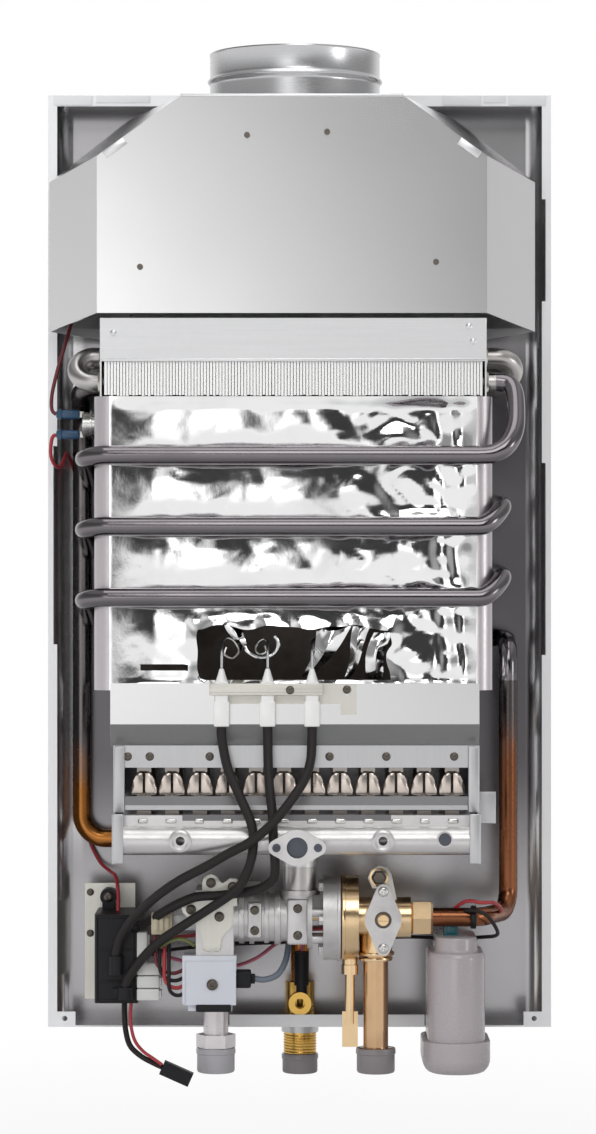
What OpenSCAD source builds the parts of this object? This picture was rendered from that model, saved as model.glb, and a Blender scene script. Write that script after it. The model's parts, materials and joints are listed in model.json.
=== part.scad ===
// Wall-hung instantaneous gas water heater with its front cover off, in millimetres.
// The front faces -Y, up is +Z, and the origin is the middle of the rear face, at the wall.
// Most forms are placed by x, by depth in front of the wall and by height above the bottom line.

/* [Back panel] */
// Width of the back panel
panel_w = 330; // [318:1:350]
// Height of the back panel
panel_h = 611; // [600:1:640]
// Depth of its side flanges
flange_d = 45; // [38:1:50]
// Thickness of its sheet
sheet = 1; // [0.8:0.1:1.4]
// Bend radius between back and sides
corner_r = 14; // [8:1:18]
// Width of the front lips
lip_w = 6; // [4:0.5:8]
// Wall screw spacing across
screw_dx = 200; // [190:5:210]
// Wall screw spacing upright
screw_dz = 540; // [500:5:560]
// Wall screw hole diameter
screw_hole_d = 6; // [5:0.5:8]

/* [Flue] */
// Outside diameter of the flue collar
collar_d = 110; // [100:1:116]
// Height of the collar above the hood
collar_h = 34; // [28:1:45]
// Thickness of the hood and collar sheet
hood_t = 1; // [0.8:0.1:1.4]
// How much narrower than the back panel the hood's front is
hood_front_in = 83; // [74:1:94]
// How much narrower than the back panel the hood is over its wings
hood_wing_in = 13; // [6:1:24]
// Depth of the hood's front panel in front of the wall
hood_d = 131; // [130:1:140]

/* [Exchanger] */
// How much narrower than the back panel the fin box is
fin_in = 85; // [80:1:94]
// Number of fins
fin_count = 40; // [30:1:46]
// Outside diameter of the water tubes
tube_d = 12; // [11:0.5:13]
// Wall of the water tubes
tube_wall = 0.8; // [0.6:0.1:1]
// Front of the combustion chamber, in front of the wall
chamber_d = 126; // [124:1:128]
// Corner radius of the combustion chamber
chamber_r = 10; // [8:1:14]
// Height between the coil's turns
coil_pitch = 45; // [40:1:46]

/* [Burner] */
// Number of burner blades
blade_count = 12; // [8:1:12]
// Room beside the outer burner blades, both sides together
blade_room = 33.2; // [30:0.1:40]
// Thickness of a burner blade
blade_t = 9; // [7:0.5:10]
// Outside radius of the gas manifold
manifold_r = 9; // [8:0.5:9.5]

/* [Plumbing] */
// Radius over the connection threads
thread_r = 10.48; // [9:0.01:11]
// Length of a connection thread
thread_l = 14; // [12:0.5:15]
// Radius of the gas and cold connection pipes
stub_r = 8; // [7.5:0.1:8.5]
// Wall of the gas and cold connection pipes
stub_wall = 1.5; // [1:0.1:2]
// Radius of the diaphragm housing
housing_r = 27; // [25:0.5:28]
// Travel of the push rod
rod_travel = 4; // [3:0.5:4]

/* [Battery box] */
// Diameter of a D cell
cell_d = 33.2; // [32.3:0.1:34.2]
// Wall of the battery box
box_wall = 1.4; // [1:0.1:1.8]
// Room round each cell
cell_gap = 0.4; // [0.3:0.1:0.6]

/* [Fits] */
// Gap between parts that move against each other
gap = 0.3; // [0.25:0.05:0.4]
// Gap between a tube and the sheet that it passes through
tube_gap = 0.15; // [0.1:0.05:0.3]

/* [Hidden] */
$fn = 64;

// Heights and places of the back panel
panel_z0 = 2;
panel_z1 = panel_z0 + panel_h;
mount_z = (panel_z0 + panel_z1) / 2;
wall_x = panel_w / 2 - sheet;
lip_narrow = lip_w - 2.5;
floor_z = panel_z0 + sheet;

// Flue hood
hood_x = -4.8;
hood_front_w = panel_w - hood_front_in;
hood_wing_w = panel_w - hood_wing_in;
hood_top = panel_z1 - 11;
hood_shoulder = hood_top - 38;
hood_bottom = 464.5;
hood_lean = 0.0986;
hood_wing_d = flange_d + 12;
hood_wing_top = hood_top - 47.3;
collar_x = -3;
collar_dep = 70;

// Exchanger
ex_x = -4;
fin_w = panel_w - fin_in;
fin_hw = fin_w / 2;
fin_z0 = 412;
band_z0 = 434;
fin_z1 = 461.5;
fin_back = 22;
fin_front = chamber_d + 2;
row_low = 422;
row_high = 438.9;
row_d = [105, 90, 75, 60, 45];
tube_r = tube_d / 2;
return_r = norm([row_d[0] - row_d[1], row_high - row_low]) / 2 - 0.05;
return_right = ex_x + fin_hw + 8.6 + return_r;
return_left = ex_x - fin_hw - 5.2 - return_r;
inlet_x = ex_x + fin_hw + 7;
outlet_x = return_left + return_r;
chamber_hw = fin_hw + 4.2;
chamber_back = 26;
chamber_z0 = 225.5;
chamber_t = 1.5;
coil_off = tube_r + gap;
coil_left = ex_x - chamber_hw - coil_off;
coil_right = ex_x + chamber_hw + coil_off;
coil_front = chamber_d + coil_off;
coil_back = chamber_back - coil_off;
coil_bend = chamber_r + coil_off;
coil_z = 374.5;
hot_x = coil_left - 1.5 - tube_r;
hot_dep = coil_back + 2.3 - tube_r;
hot_z = 123.8;
riser_x = coil_right + 1 + tube_r;
riser_dep = 60;
riser_cut = 230;

// Burner
burn_x = -1;
burn_left = burn_x - fin_hw + 7;
burn_right = burn_x + fin_hw - 9;
burn_front = chamber_d - 7;
side_t = 1.5;
blade_z0 = 137;
strip_z0 = 157.5;
burn_top = 190.5;
blade_pitch = (burn_right - burn_left - blade_room) / (blade_count - 1);
first_blade = burn_x - blade_pitch * (blade_count - 1) / 2;
man_d = burn_front + 19;
man_z = 131;
rib_z = 142.5;
flange_x = -1.5;
flange_z = 128;
flange_face = man_d + 20.5;
flange_ear = 13;

// Ignition
ceramic_x = [-49.3, -20.2, 7.9];
ceramic_z0 = 202.7;
lead_r = 3;

// Valves
valve_d = 108;
valve_z = 80;
boss_d = valve_d + 4;
gas_x = -54;
gas_d = valve_d - 24;
sol_x = -56;
sol_d = valve_d - 2;
plate_d = valve_d + 10;
switch_d = valve_d - 24;
reg_d = valve_d + 16;
box_z0 = 56;
cold_x = 48.7;
reg_x = 53;
drain_x = 32.2;
cover_x0 = 15;
cover_x1 = 26;
brass_x0 = cover_x1 + 1;
brass_x1 = brass_x0 + 10.5;
nipple_x = 71;
nut_x1 = 85;
pipe_end = 80;
bore_r = stub_r - stub_wall;
cap_in = thread_r + 0.87;
cap_out = cap_in + 0.8;
cold_top = 58;
cold_thread = -3;
gas_thread = -6;
hot_x0 = 0.3;
hot_d = 26;
hot_thread = -3;
hot_bore = 7.3;

// Battery box
cell_r = cell_d / 2;
cell_l = 58;
cell_dep = [93 - cell_r - 0.4, 93 + cell_r + 0.4];
bat_x = panel_w / 2 - 65;
bat_in = cell_r + cell_gap;
bat_out = bat_in + box_wall;
bat_z0 = 3;
bat_top = 58.2;
lid_in = bat_out + gap;
lid_out = lid_in + 3;
lid_z0 = -18.7;
lid_z1 = 1.7;
hinge_dep = cell_dep[0] - lid_out - 1.2;
hinge_z = 0.5;

// Igniter
ign_x0 = 33 - panel_w / 2;
ign_x1 = ign_x0 + 28;
ign_d0 = 40;
ign_d1 = 92;
ign_z0 = 23;
ign_z1 = 80;

function p3(p) = [p[0], -p[1], p[2] - mount_z];
function unit(v) = v / norm(v);
function blade_x(i) = first_blade + i * blade_pitch;

// A block by its x, depth and height limits
module block(x0, x1, d0, d1, z0, z1) {
  translate([x0, -d1, z0 - mount_z])
    cube([x1 - x0, d1 - d0, z1 - z0]);
}

// A round bar along x
module bar_x(x0, x1, d, z, r) {
  translate([x0, -d, z - mount_z])
    rotate([0, 90, 0])
      cylinder(r = r, h = x1 - x0);
}

// A round bar along the depth
module bar_y(x, d0, d1, z, r) {
  translate([x, -d1, z - mount_z])
    rotate([-90, 0, 0])
      cylinder(r = r, h = d1 - d0);
}

// An upright round bar
module bar_z(x, d, z0, z1, r) {
  translate([x, -d, z0 - mount_z])
    cylinder(r = r, h = z1 - z0);
}

// A profile of depth and height pairs, drawn out along x
module prism_x(x0, x1, pts) {
  translate([x0, 0, -mount_z])
    rotate([90, 0, 90])
      linear_extrude(x1 - x0)
        polygon([for (p = pts) [-p[0], p[1]]]);
}

// A profile of x and height pairs, drawn out along the depth
module prism_y(d0, d1, pts) {
  translate([0, -d0, -mount_z])
    rotate([90, 0, 0])
      linear_extrude(d1 - d0)
        polygon(pts);
}

// A block with rounded upright corners
module round_block(x0, x1, d0, d1, z0, z1, r) {
  block(x0 + r, x1 - r, d0, d1, z0, z1);
  block(x0, x1, d0 + r, d1 - r, z0, z1);
  for (x = [x0 + r, x1 - r], d = [d0 + r, d1 - r])
    bar_z(x, d, z0, z1, r);
}

// An upright oblong round two centres in a row along the depth
module oblong(x, ds, z0, z1, r) {
  for (d = ds)
    bar_z(x, d, z0, z1, r);
  block(x - r, x + r, ds[0], ds[1], z0, z1);
}

// A straight rod between two points
module stick(a, b, r) {
  w = b - a;
  translate(a)
    rotate([0, acos(w[2] / norm(w)), atan2(w[1], w[0])])
      cylinder(r = r, h = norm(w));
}

// A rod along a route of corners, each rounded to its bend radius, run on past both ends by grow.
// Each bend is thicker than the straights by a hair, as a drawn bend is.
module bent_rod(route, r, bends, grow = 0, swell = 0.05) {
  q = [for (p = route) p3(p)];
  n = len(q);
  u = [for (i = [0 : n - 2]) unit(q[i + 1] - q[i])];
  ang = [for (i = [0 : n - 1]) i == 0 || i == n - 1 ? 0 : acos(u[i - 1] * u[i])];
  t = [for (i = [0 : n - 1]) i == 0 || i == n - 1 ? -grow : bends[i - 1] * tan(ang[i] / 2)];
  lap = [for (i = [0 : n - 1]) i == 0 || i == n - 1 ? 0 : 0.03];
  for (i = [0 : n - 2])
    stick(q[i] + u[i] * (t[i] - lap[i]), q[i + 1] - u[i] * (t[i + 1] - lap[i + 1]), r);
  for (i = [1 : n - 2]) {
    inward = unit(u[i] - (u[i] * u[i - 1]) * u[i - 1]);
    c = q[i] - u[i - 1] * t[i] + inward * bends[i - 1];
    a = -inward;
    b = u[i - 1];
    k = cross(a, b);
    multmatrix([[a[0], b[0], k[0], c[0]], [a[1], b[1], k[1], c[1]], [a[2], b[2], k[2], c[2]], [0, 0, 0, 1]])
      rotate_extrude(angle = ang[i])
        translate([bends[i - 1], 0])
          circle(r = r + swell);
  }
}

// A hollow tube along a route of corners
module bent_tube(route, r, wall, bends) {
  difference() {
    bent_rod(route, r, bends);
    bent_rod(route, r - wall, bends, 1, -0.05);
  }
}

// A smooth line through hand-set points
function smooth(p, k) = [
  for (i = [0 : len(p) - 2], j = [0 : k - 1])
    let (a = p[max(i - 1, 0)], b = p[i], c = p[i + 1], e = p[min(i + 2, len(p) - 1)], s = j / k)
      0.5 * (2 * b + (c - a) * s + (2 * a - 5 * b + 4 * c - e) * s * s + (3 * b - a - 3 * c + e) * s * s * s),
  p[len(p) - 1]];

// A flexible lead as one tube through hand-set points, its rings turned by the side direction
module lead(route, r, sides, side, k = 2) {
  q = smooth([for (p = route) p3(p)], k);
  n = len(q);
  tan_at = [for (i = [0 : n - 1]) unit(q[min(i + 1, n - 1)] - q[max(i - 1, 0)])];
  pts = [for (i = [0 : n - 1])
    let (b = unit(cross(tan_at[i], side)), m = cross(b, tan_at[i]))
      for (j = [0 : sides - 1]) q[i] + r * (cos(360 * j / sides) * b + sin(360 * j / sides) * m)];
  skin = [for (i = [0 : n - 2], j = [0 : sides - 1], h = [0, 1])
    let (a = i * sides + j, b = i * sides + (j + 1) % sides)
      h == 0 ? [a, a + sides, b] : [b, a + sides, b + sides]];
  start = [[for (j = [0 : sides - 1]) j]];
  finish = [[for (j = [0 : sides - 1]) n * sides - 1 - j]];
  polyhedron(points = pts, faces = concat(skin, start, finish), convexity = 6);
}

// A two-eared flange outline: a round middle and two smaller ears
module diamond(big, ear, reach) {
  k = acos((big - ear) / reach);
  circle(r = big);
  for (s = [-1, 1])
    translate([s * reach, 0])
      circle(r = ear);
  polygon([[big * cos(k), big * sin(k)], [reach + ear * cos(k), ear * sin(k)],
    [reach + ear * cos(k), -ear * sin(k)], [big * cos(k), -big * sin(k)],
    [-big * cos(k), -big * sin(k)], [-reach - ear * cos(k), -ear * sin(k)],
    [-reach - ear * cos(k), ear * sin(k)], [-big * cos(k), big * sin(k)]]);
}

// The back panel's outline as a solid, its rear corners rounded
module pan(x, d0, d1, z0, z1, r) {
  block(-x, x, d0 + r, d1, z0, z1);
  block(-x + r, x - r, d0, d1, z0, z1);
  for (s = [-1, 1])
    bar_z(s * (x - r), d0 + r, z0, z1, r);
}

module back_panel() {
  color("gainsboro")
    difference() {
      union() {
        difference() {
          pan(panel_w / 2, 0, flange_d, panel_z0, panel_z1, corner_r);
          pan(wall_x, sheet, flange_d + 1, floor_z, panel_z1 - sheet, corner_r - sheet);
        }
        // front lips at the sides, narrower where the cover's clips go
        block(-panel_w / 2, -panel_w / 2 + lip_narrow, flange_d - sheet, flange_d, panel_z0, panel_z1);
        block(panel_w / 2 - lip_narrow, panel_w / 2, flange_d - sheet, flange_d, panel_z0, panel_z1);
        block(-panel_w / 2, -panel_w / 2 + lip_w, flange_d - sheet, flange_d, 383, panel_z1);
        block(-panel_w / 2, -panel_w / 2 + lip_w, flange_d - sheet, flange_d, panel_z0, 253);
        block(panel_w / 2 - lip_w, panel_w / 2, flange_d - sheet, flange_d, 545, panel_z1);
        block(panel_w / 2 - lip_w, panel_w / 2, flange_d - sheet, flange_d, 372, 478);
        block(panel_w / 2 - lip_w, panel_w / 2, flange_d - sheet, flange_d, panel_z0, 246);
        // lips along the top and bottom
        block(-panel_w / 2, panel_w / 2, flange_d - sheet, flange_d, panel_z1 - lip_w - 1, panel_z1);
        block(-46, 82, flange_d - sheet, flange_d, panel_z0, panel_z0 + lip_w + 2);
        for (s = [-1, 1])
          block(s * (panel_w / 2 - 9) - 9, s * (panel_w / 2 - 9) + 9, flange_d - sheet, flange_d,
            panel_z0, panel_z0 + lip_w + 4);
      }
      for (x = [-screw_dx / 2, screw_dx / 2], z = [-screw_dz / 2, screw_dz / 2])
        bar_y(x, -1, 2 * sheet, mount_z + z, screw_hole_d / 2);
      bar_z(hot_x0, hot_d, panel_z0 - 1, floor_z + 1, thread_r + gap);
      bar_z(collar_x, collar_dep, panel_z1 - 2 * lip_w, panel_z1 + 1, collar_d / 2 + 4);
      for (s = [-1, 1])
        bar_y(s * (panel_w / 2 - 11), flange_d - 2 * sheet, flange_d + 1, panel_z0 + lip_w - 0.5, 1.7);
    }
}

// The hood's outer or inner form, shrunk by a wall thickness
module hood_form(t) {
  fw = hood_front_w / 2 - t;
  slope = (hood_top - hood_shoulder) / (hood_front_w / 2 - 70.5);
  ww = hood_wing_w / 2 - t;
  reach = hood_d - hood_wing_d;
  back_rise = (hood_wing_top - (hood_top - slope * (hood_wing_w / 2 - 70.5))) / reach;
  fd = hood_d - t;
  wd = hood_wing_d;
  rd = sheet + t;
  top = hood_top - t;
  drop = 1.3 * t;
  front_top = 70.5 + (top == hood_top ? 0 : (back_rise * t - drop + t) / slope);
  rear_top = front_top + back_rise * (fd - rd) / slope;
  zf = hood_top - slope * (fw - 70.5) + back_rise * (hood_d - fd) - drop;
  zw = hood_top - slope * (ww - 70.5) + back_rise * (hood_d - wd) - drop;
  b = hood_bottom - t * 5;
  bw = b - hood_lean * (fd - wd);
  br = b - hood_lean * (fd - rd);
  side = [[fw, fd, b], [ww, wd, bw], [rear_top, rd, br], [fw, fd, zf], [front_top, fd, top],
    [rear_top, rd, top], [ww, wd, zw]];
  pts = concat([for (p = side) [hood_x + p[0], -p[1], p[2] - mount_z]],
    [for (p = side) [hood_x - p[0], -p[1], p[2] - mount_z]]);
  polyhedron(points = pts, convexity = 4, faces = [
    [0, 7, 10, 11, 4, 3], [0, 3, 6, 1], [1, 6, 5, 2], [3, 4, 5, 6], [4, 11, 12, 5], [2, 5, 12, 9],
    [7, 8, 13, 10], [8, 9, 12, 13], [10, 13, 12, 11], [0, 1, 2, 9, 8, 7]]);
}

module flue_hood() {
  color("silver")
    difference() {
      hood_form(0);
      hood_form(hood_t);
      bar_z(collar_x, collar_dep, hood_top - 5, hood_top + 5, collar_d / 2 + tube_gap);
      // relief openings beside the rear wall let spilled flue gas out
      for (s = [-1, 1])
        translate([hood_x + s * 135, -29, 505 - mount_z])
          rotate([0, 0, s * 48])
            cube([40, 46, 60], center = true);
    }
}

module flue_collar() {
  color("lightgray")
    translate([collar_x, -collar_dep, -mount_z])
      rotate_extrude()
        union() {
          translate([collar_d / 2 - hood_t, hood_top - 8])
            square([hood_t, collar_h + 8]);
          translate([collar_d / 2 - hood_t, hood_top])
            square([6, hood_t]);
          translate([collar_d / 2, hood_top + 16])
            circle(r = 1.6);
        }
}

module hood_screws() {
  color("dimgray")
    for (p = [[-33.3, 577], [17.4, 579], [-101, 493.6], [86.3, 496.7]])
      bar_y(p[0], hood_d, hood_d + 1.6, p[1], 1.9);
}

// Bores for the five water tubes
module tube_bores(x0, x1, extra) {
  for (i = [0 : 4])
    bar_x(x0, x1, row_d[i], i % 2 == 0 ? row_low : row_high, tube_r + extra);
}

module fin_box() {
  color("lightgray")
    difference() {
      block(ex_x - fin_hw, ex_x + fin_hw, fin_back, fin_front, fin_z0, fin_z1);
      block(ex_x - fin_hw + 1, ex_x + fin_hw - 1, fin_back + 1, fin_front - 1, fin_z0 - 1, fin_z1 + 1);
      block(ex_x - fin_hw + 1, ex_x + fin_hw - 1, fin_back - 1, fin_front + 1, fin_z0 - 1, band_z0);
      tube_bores(ex_x - fin_hw - 1, ex_x + fin_hw + 1, tube_gap);
    }
}

module fin_stack() {
  step = (2 * fin_hw - 8) / (fin_count - 1);
  color("silver")
    difference() {
      union() {
        for (i = [0 : fin_count - 1])
          block(ex_x - fin_hw + 3.5 + i * step, ex_x - fin_hw + 4.5 + i * step, fin_back + 3, fin_front - 2,
            fin_z0 + 0.5, 456);
        for (d = [fin_back + 16, fin_front - 20])
          block(ex_x - fin_hw + 1, ex_x + fin_hw - 1, d, d + 4, 454, 456);
      }
      tube_bores(ex_x - fin_hw - 1, ex_x + fin_hw + 1, tube_gap);
    }
}

module fin_tubes() {
  color("silver")
    bent_tube([
      [inlet_x, row_d[0], row_low], [return_left, row_d[0], row_low],
      [return_left, row_d[1], row_high], [return_right, row_d[1], row_high],
      [return_right, row_d[2], row_low], [return_left, row_d[2], row_low],
      [return_left, row_d[3], row_high], [return_right, row_d[3], row_high],
      [return_right, row_d[4], row_low], [outlet_x, row_d[4], row_low]],
      tube_r, tube_wall, [for (i = [0 : 7]) return_r]);
}

module combustion_chamber() {
  t = chamber_t;
  color("white")
    difference() {
      round_block(ex_x - chamber_hw, ex_x + chamber_hw, chamber_back, chamber_d, chamber_z0, fin_z0,
        chamber_r);
      round_block(ex_x - chamber_hw + t, ex_x + chamber_hw - t, chamber_back + t, chamber_d - t,
        chamber_z0 - 1, fin_z0 - t, chamber_r - t);
      block(ex_x - fin_hw + 6, ex_x + fin_hw - 6, chamber_back + 9, chamber_d - 9, fin_z0 - 5, fin_z0 + 1);
      // ignition window and slot in the front
      block(-64, 57, chamber_d - 3, chamber_d + 1, 232, 265);
      block(-101, -71, chamber_d - 3, chamber_d + 1, 238, 242);
    }
}

module chamber_brackets() {
  color("gray")
    for (x = [ex_x - 80, ex_x + 60], z = [380, chamber_z0 + 1]) {
      block(x, x + 20, sheet, sheet + 1.5, z, z + 20);
      block(x, x + 20, chamber_back - 1.5, chamber_back, z, z + 20);
      block(x, x + 20, sheet, chamber_back, z + 9, z + 11);
    }
}

// The coil's corners from the fin box down to the cut on the right riser
function coil_route() = [
  [inlet_x, row_d[0], row_low], [riser_x + 1.5, row_d[0], row_low], [riser_x + 1.5, coil_front, coil_z],
  [coil_left, coil_front, coil_z], [coil_left, coil_back, coil_z - 0.34 * coil_pitch],
  [coil_right, coil_back, coil_z - 0.67 * coil_pitch], [coil_right, coil_front, coil_z - coil_pitch],
  [coil_left, coil_front, coil_z - coil_pitch], [coil_left, coil_back, coil_z - 1.34 * coil_pitch],
  [coil_right, coil_back, coil_z - 1.67 * coil_pitch], [coil_right, coil_front, coil_z - 2 * coil_pitch],
  [coil_left, coil_front, coil_z - 2 * coil_pitch], [coil_left, coil_back, coil_z - 2.34 * coil_pitch],
  [riser_x, coil_back, coil_z - 2.6 * coil_pitch], [riser_x, riser_dep, coil_z - 2.7 * coil_pitch],
  [riser_x, riser_dep, riser_cut]];

module coil_tube() {
  route = coil_route();
  color("silver")
    bent_tube(route, tube_r, tube_wall,
      [for (i = [1 : len(route) - 2]) i == 1 ? 10 : i == len(route) - 2 ? 13 : coil_bend]);
}

module hot_pipe() {
  color("darkorange")
    bent_tube([
      [outlet_x, row_d[4], row_low], [hot_x, row_d[4], row_low], [hot_x, hot_dep, 400],
      [hot_x, hot_dep, hot_z], [hot_x0, hot_d, hot_z], [hot_x0, hot_d, 30]],
      tube_r, tube_wall, [11, 14, 16, 16]);
}

module cold_riser() {
  color("darkorange")
    bent_tube([
      [riser_x, riser_dep, riser_cut], [riser_x, riser_dep, valve_z], [riser_x - 20, valve_d, valve_z],
      [pipe_end, valve_d, valve_z]],
      tube_r, tube_wall, [15, 15]);
}

module overheat_switch() {
  x = ex_x - chamber_hw;
  color("royalblue") {
    bar_x(x - 10, x, 74, 396, 8);
    for (z = [389.5, 402.5]) {
      block(x - 13, x - 9, 73.4, 74.6, z - 2, z + 2);
      block(x - 27, x - 12, 70.5, 77.5, z - 2.6, z + 2.6);
    }
  }
}

module burner_side_plates() {
  edge = [[sheet, 152], [30, 152], [30, 131], [burn_front - 5, 131], [burn_front - 5, 117],
    [burn_front + 28, 117], [burn_front + 28, 148], [burn_front + 9, 148], [burn_front + 9, burn_top],
    [sheet, burn_top]];
  color("silver") {
    prism_x(burn_left - side_t, burn_left, edge);
    prism_x(burn_right, burn_right + side_t, edge);
  }
}

module flame_deflector() {
  color("whitesmoke")
    prism_x(burn_left - 3.5, burn_right + 1.5, [[chamber_d, 230], [chamber_d + 1, 230], [chamber_d + 1, 204],
      [burn_front + 2, burn_top], [burn_front + 0.8, burn_top], [chamber_d, 204.3]]);
}

module burner_bars() {
  color("silver") {
    difference() {
      prism_x(burn_left, burn_right, [[burn_front + 0.8, burn_top], [burn_front + 7, burn_top],
        [burn_front + 7, 176.5], [burn_front + 5.5, 176.5], [burn_front + 5.5, burn_top - 1.5],
        [burn_front + 0.8, burn_top - 1.5]]);
      for (x = [-109, -95, -57, 19, 55, 98])
        bar_y(x, burn_front + 4, burn_front + 8, 183.5, 1.7);
    }
    prism_x(burn_left, burn_right, [[burn_front + 3.5, 149.5], [burn_front + 5, 149.5],
      [burn_front + 5, strip_z0], [burn_front - 9, strip_z0], [burn_front - 9, strip_z0 - 1.5],
      [burn_front + 3.5, strip_z0 - 1.5]]);
    block(burn_left, burn_right, 34, 46, blade_z0 - 4, blade_z0);
  }
}

module burner_blades() {
  color("silver")
    for (i = [0 : blade_count - 1])
      difference() {
        prism_x(blade_x(i) - blade_t / 2, blade_x(i) + blade_t / 2, [[32, blade_z0],
          [burn_front + 3, blade_z0], [burn_front + 3, 149], [62, 149], [62, strip_z0],
          [burn_front, strip_z0], [burn_front, 205], [32, 205]]);
        block(blade_x(i) - 1.4, blade_x(i) + 1.4, 38, burn_front - 7, 196, 206);
        block(blade_x(i) - blade_t / 2 + 1.5, blade_x(i) + blade_t / 2 - 1.5, burn_front - 13,
          burn_front + 1, 160, 174);
        bar_y(blade_x(i), 46, burn_front + 4, 143, 3);
      }
}

module gas_manifold() {
  color("silver")
    difference() {
      union() {
        bar_x(burn_left, burn_right, man_d, man_z, manifold_r);
        block(burn_left + 5, burn_right - 3, man_d - 7, man_d, man_z, 147);
        for (x = [-75, 52.4])
          bar_y(x, man_d, man_d + 11, man_z + 0.5, 7);
        bar_y(91.3, man_d, man_d + 10.5, man_z + 1.5, 5);
        bar_y(flange_x, man_d, flange_face - 1, flange_z, 10);
        translate([flange_x, 4 - flange_face, flange_z - mount_z])
          rotate([90, 0, 0])
            linear_extrude(4)
              diamond(11.4, 5, flange_ear);
        bar_z(0, boss_d, 113, 131, 10.4);
        block(-9, 9, boss_d, man_d, 118, 131);
      }
      bar_x(burn_left + 4, burn_right - 4, man_d, man_z, manifold_r - 2.5);
      bar_x(burn_left + 8, burn_right - 6, man_d - 3.5, rib_z, 2.2);
      bar_z(40, man_d - 3.5, man_z, rib_z, 2);
      for (i = [0 : blade_count - 1])
        bar_y(blade_x(i), man_d - 8, man_d - 3.5, rib_z, 1.6);
      for (x = [-75, 52.4])
        bar_y(x, man_d, man_d + 12, man_z + 0.5, 2.8);
      bar_y(flange_x, flange_face - 8, flange_face + 1, flange_z, 6.6);
      for (s = [-1, 1])
        bar_y(flange_x + s * flange_ear, flange_face - 5, flange_face + 1, flange_z, 1.8);
      bar_z(0, boss_d, 112, 126, 7);
      bar_y(0, boss_d, man_d, 126, 5);
    }
}

module injectors() {
  color("goldenrod")
    for (i = [0 : blade_count - 1])
      difference() {
        union() {
          bar_y(blade_x(i), man_d - 11, man_d - 7, rib_z, 3);
          bar_y(blade_x(i), man_d - 13.5, man_d - 10, rib_z, 2);
        }
        bar_y(blade_x(i), man_d - 14, man_d - 6, rib_z, 0.6);
      }
}

module manifold_screws() {
  color("peru") {
    bar_y(91.3, man_d + 10.5, man_d + 12, man_z + 1.5, 4);
    bar_y(flange_x, flange_face - 8, flange_face - 5, flange_z, 6.5);
    for (s = [-1, 1])
      difference() {
        bar_y(flange_x + s * flange_ear, flange_face, flange_face + 1.2, flange_z, 2.6);
        block(flange_x + s * flange_ear - 2, flange_x + s * flange_ear + 2,
          flange_face + 0.5, flange_face + 2, flange_z - 0.4, flange_z + 0.4);
      }
  }
}

module electrode_bracket() {
  d = chamber_d + 1;
  color("silver")
    difference() {
      union() {
        block(-54, 36, d, d + 1.2, 217, 230);
        block(26, 36, d, d + 1.2, 210, 230);
      }
      for (x = [-36, -6, 30])
        bar_y(x, d - 1, d + 2, 224, 2);
    }
}

module electrode_insulators() {
  d = chamber_d + 2.2;
  color("white")
    for (x = ceramic_x) {
      block(x - 4.2, x + 4.2, d, d + 7.8, ceramic_z0, 231);
      translate([x, -d - 3.9, 231 - mount_z])
        rotate([0, 0, 45])
          cylinder(r1 = 5.4, r2 = 1.8, h = 9, $fn = 4);
    }
}

module electrode_rods() {
  d = chamber_d + 6.1;
  color("gray")
    for (x = ceramic_x)
      bent_rod([[x, d, 240], [x, d, 250], [x, chamber_d - 12, 256]], 0.9, [4]);
}

// Routes of the three ignition leads: x, depth, height
left_route = [[-49.3, 132.1, 202.7], [-49.3, 132.6, 196], [-45.5, 136, 177], [-38, 142, 160],
  [-30.5, 149, 143], [-29, 151.5, 131], [-31, 151, 118], [-37, 147, 104], [-44, 142, 97], [-58, 133, 87],
  [-74, 124, 76], [-88, 114, 66], [-99, 105, 55], [ign_x0 + 23, 98, 42], [ign_x0 + 20, 97, 34]];
middle_route = [[-20.2, 132.1, 202.7], [-20.1, 132.8, 196], [-19.8, 138, 178], [-18.6, 145, 162],
  [-17, 150, 148],
  [-16.6, 150.8, 136], [-15.8, 150.6, 124], [-15.4, 149, 114], [-17, 146, 107], [-24, 141, 101.5],
  [-34, 137, 98.5], [-50, 132, 96], [-66, 128.5, 94.5], [-80, 119.5, 88], [-92, 106, 80],
  [ign_x1 + 5, 97, 75], [ign_x1, 92, 73]];
right_route = [[7.9, 132.1, 202.7], [7.8, 133, 196], [7, 138, 182], [3.5, 146, 171], [-3.5, 153, 160],
  [-12, 157, 149], [-20.5, 158.5, 140], [-32, 158, 131], [-45, 154, 124], [-58, 149, 116], [-74, 139, 107],
  [-88, 128, 97], [-99, 116, 87], [-108, 106, 77], [ign_x0 + 17, 99.5, 66],
  [ign_x0 + 14, 97, 54]];

module ignition_lead_left() {
  color("black")
    lead(left_route, lead_r, 10, [0, 1, 0]);
}

module ignition_lead_middle() {
  color("black")
    lead(middle_route, lead_r, 10, [0, 1, 0]);
}

module ignition_lead_right() {
  color("black")
    lead(right_route, lead_r, 10, [0, 1, 0]);
}

module igniter_box() {
  color("black") {
    round_block(ign_x0, ign_x1, ign_d0, ign_d1, ign_z0, ign_z1, 3);
    block(ign_x0 + 3, ign_x0 + 11, ign_d0, ign_d0 + 12, ign_z1 - 1, 88);
    bar_y(ign_x0 + 7, ign_d0, ign_d0 + 12, 88, 5.5);
    block(ign_x0 + 1, ign_x0 + 9, ign_d0, ign_d0 + 8, ign_z0 - 4, ign_z0 + 1);
    // high-voltage sockets
    bar_z(ign_x0 + 14, 97, 42, 54, 4.6);
    bar_z(ign_x0 + 20, 97, 26, 34, 4.6);
    block(ign_x0 + 12, ign_x0 + 22, ign_d1 - 4, 97, 28, 33);
    block(ign_x0 + 11, ign_x0 + 17, ign_d1 - 4, 97, 43, 52);
    bar_x(ign_x1 - 4, ign_x1, 92, 73, 4.6);
    block(ign_x1 - 8, ign_x1 - 3, 84, 92, 69, 77);
  }
}

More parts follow.
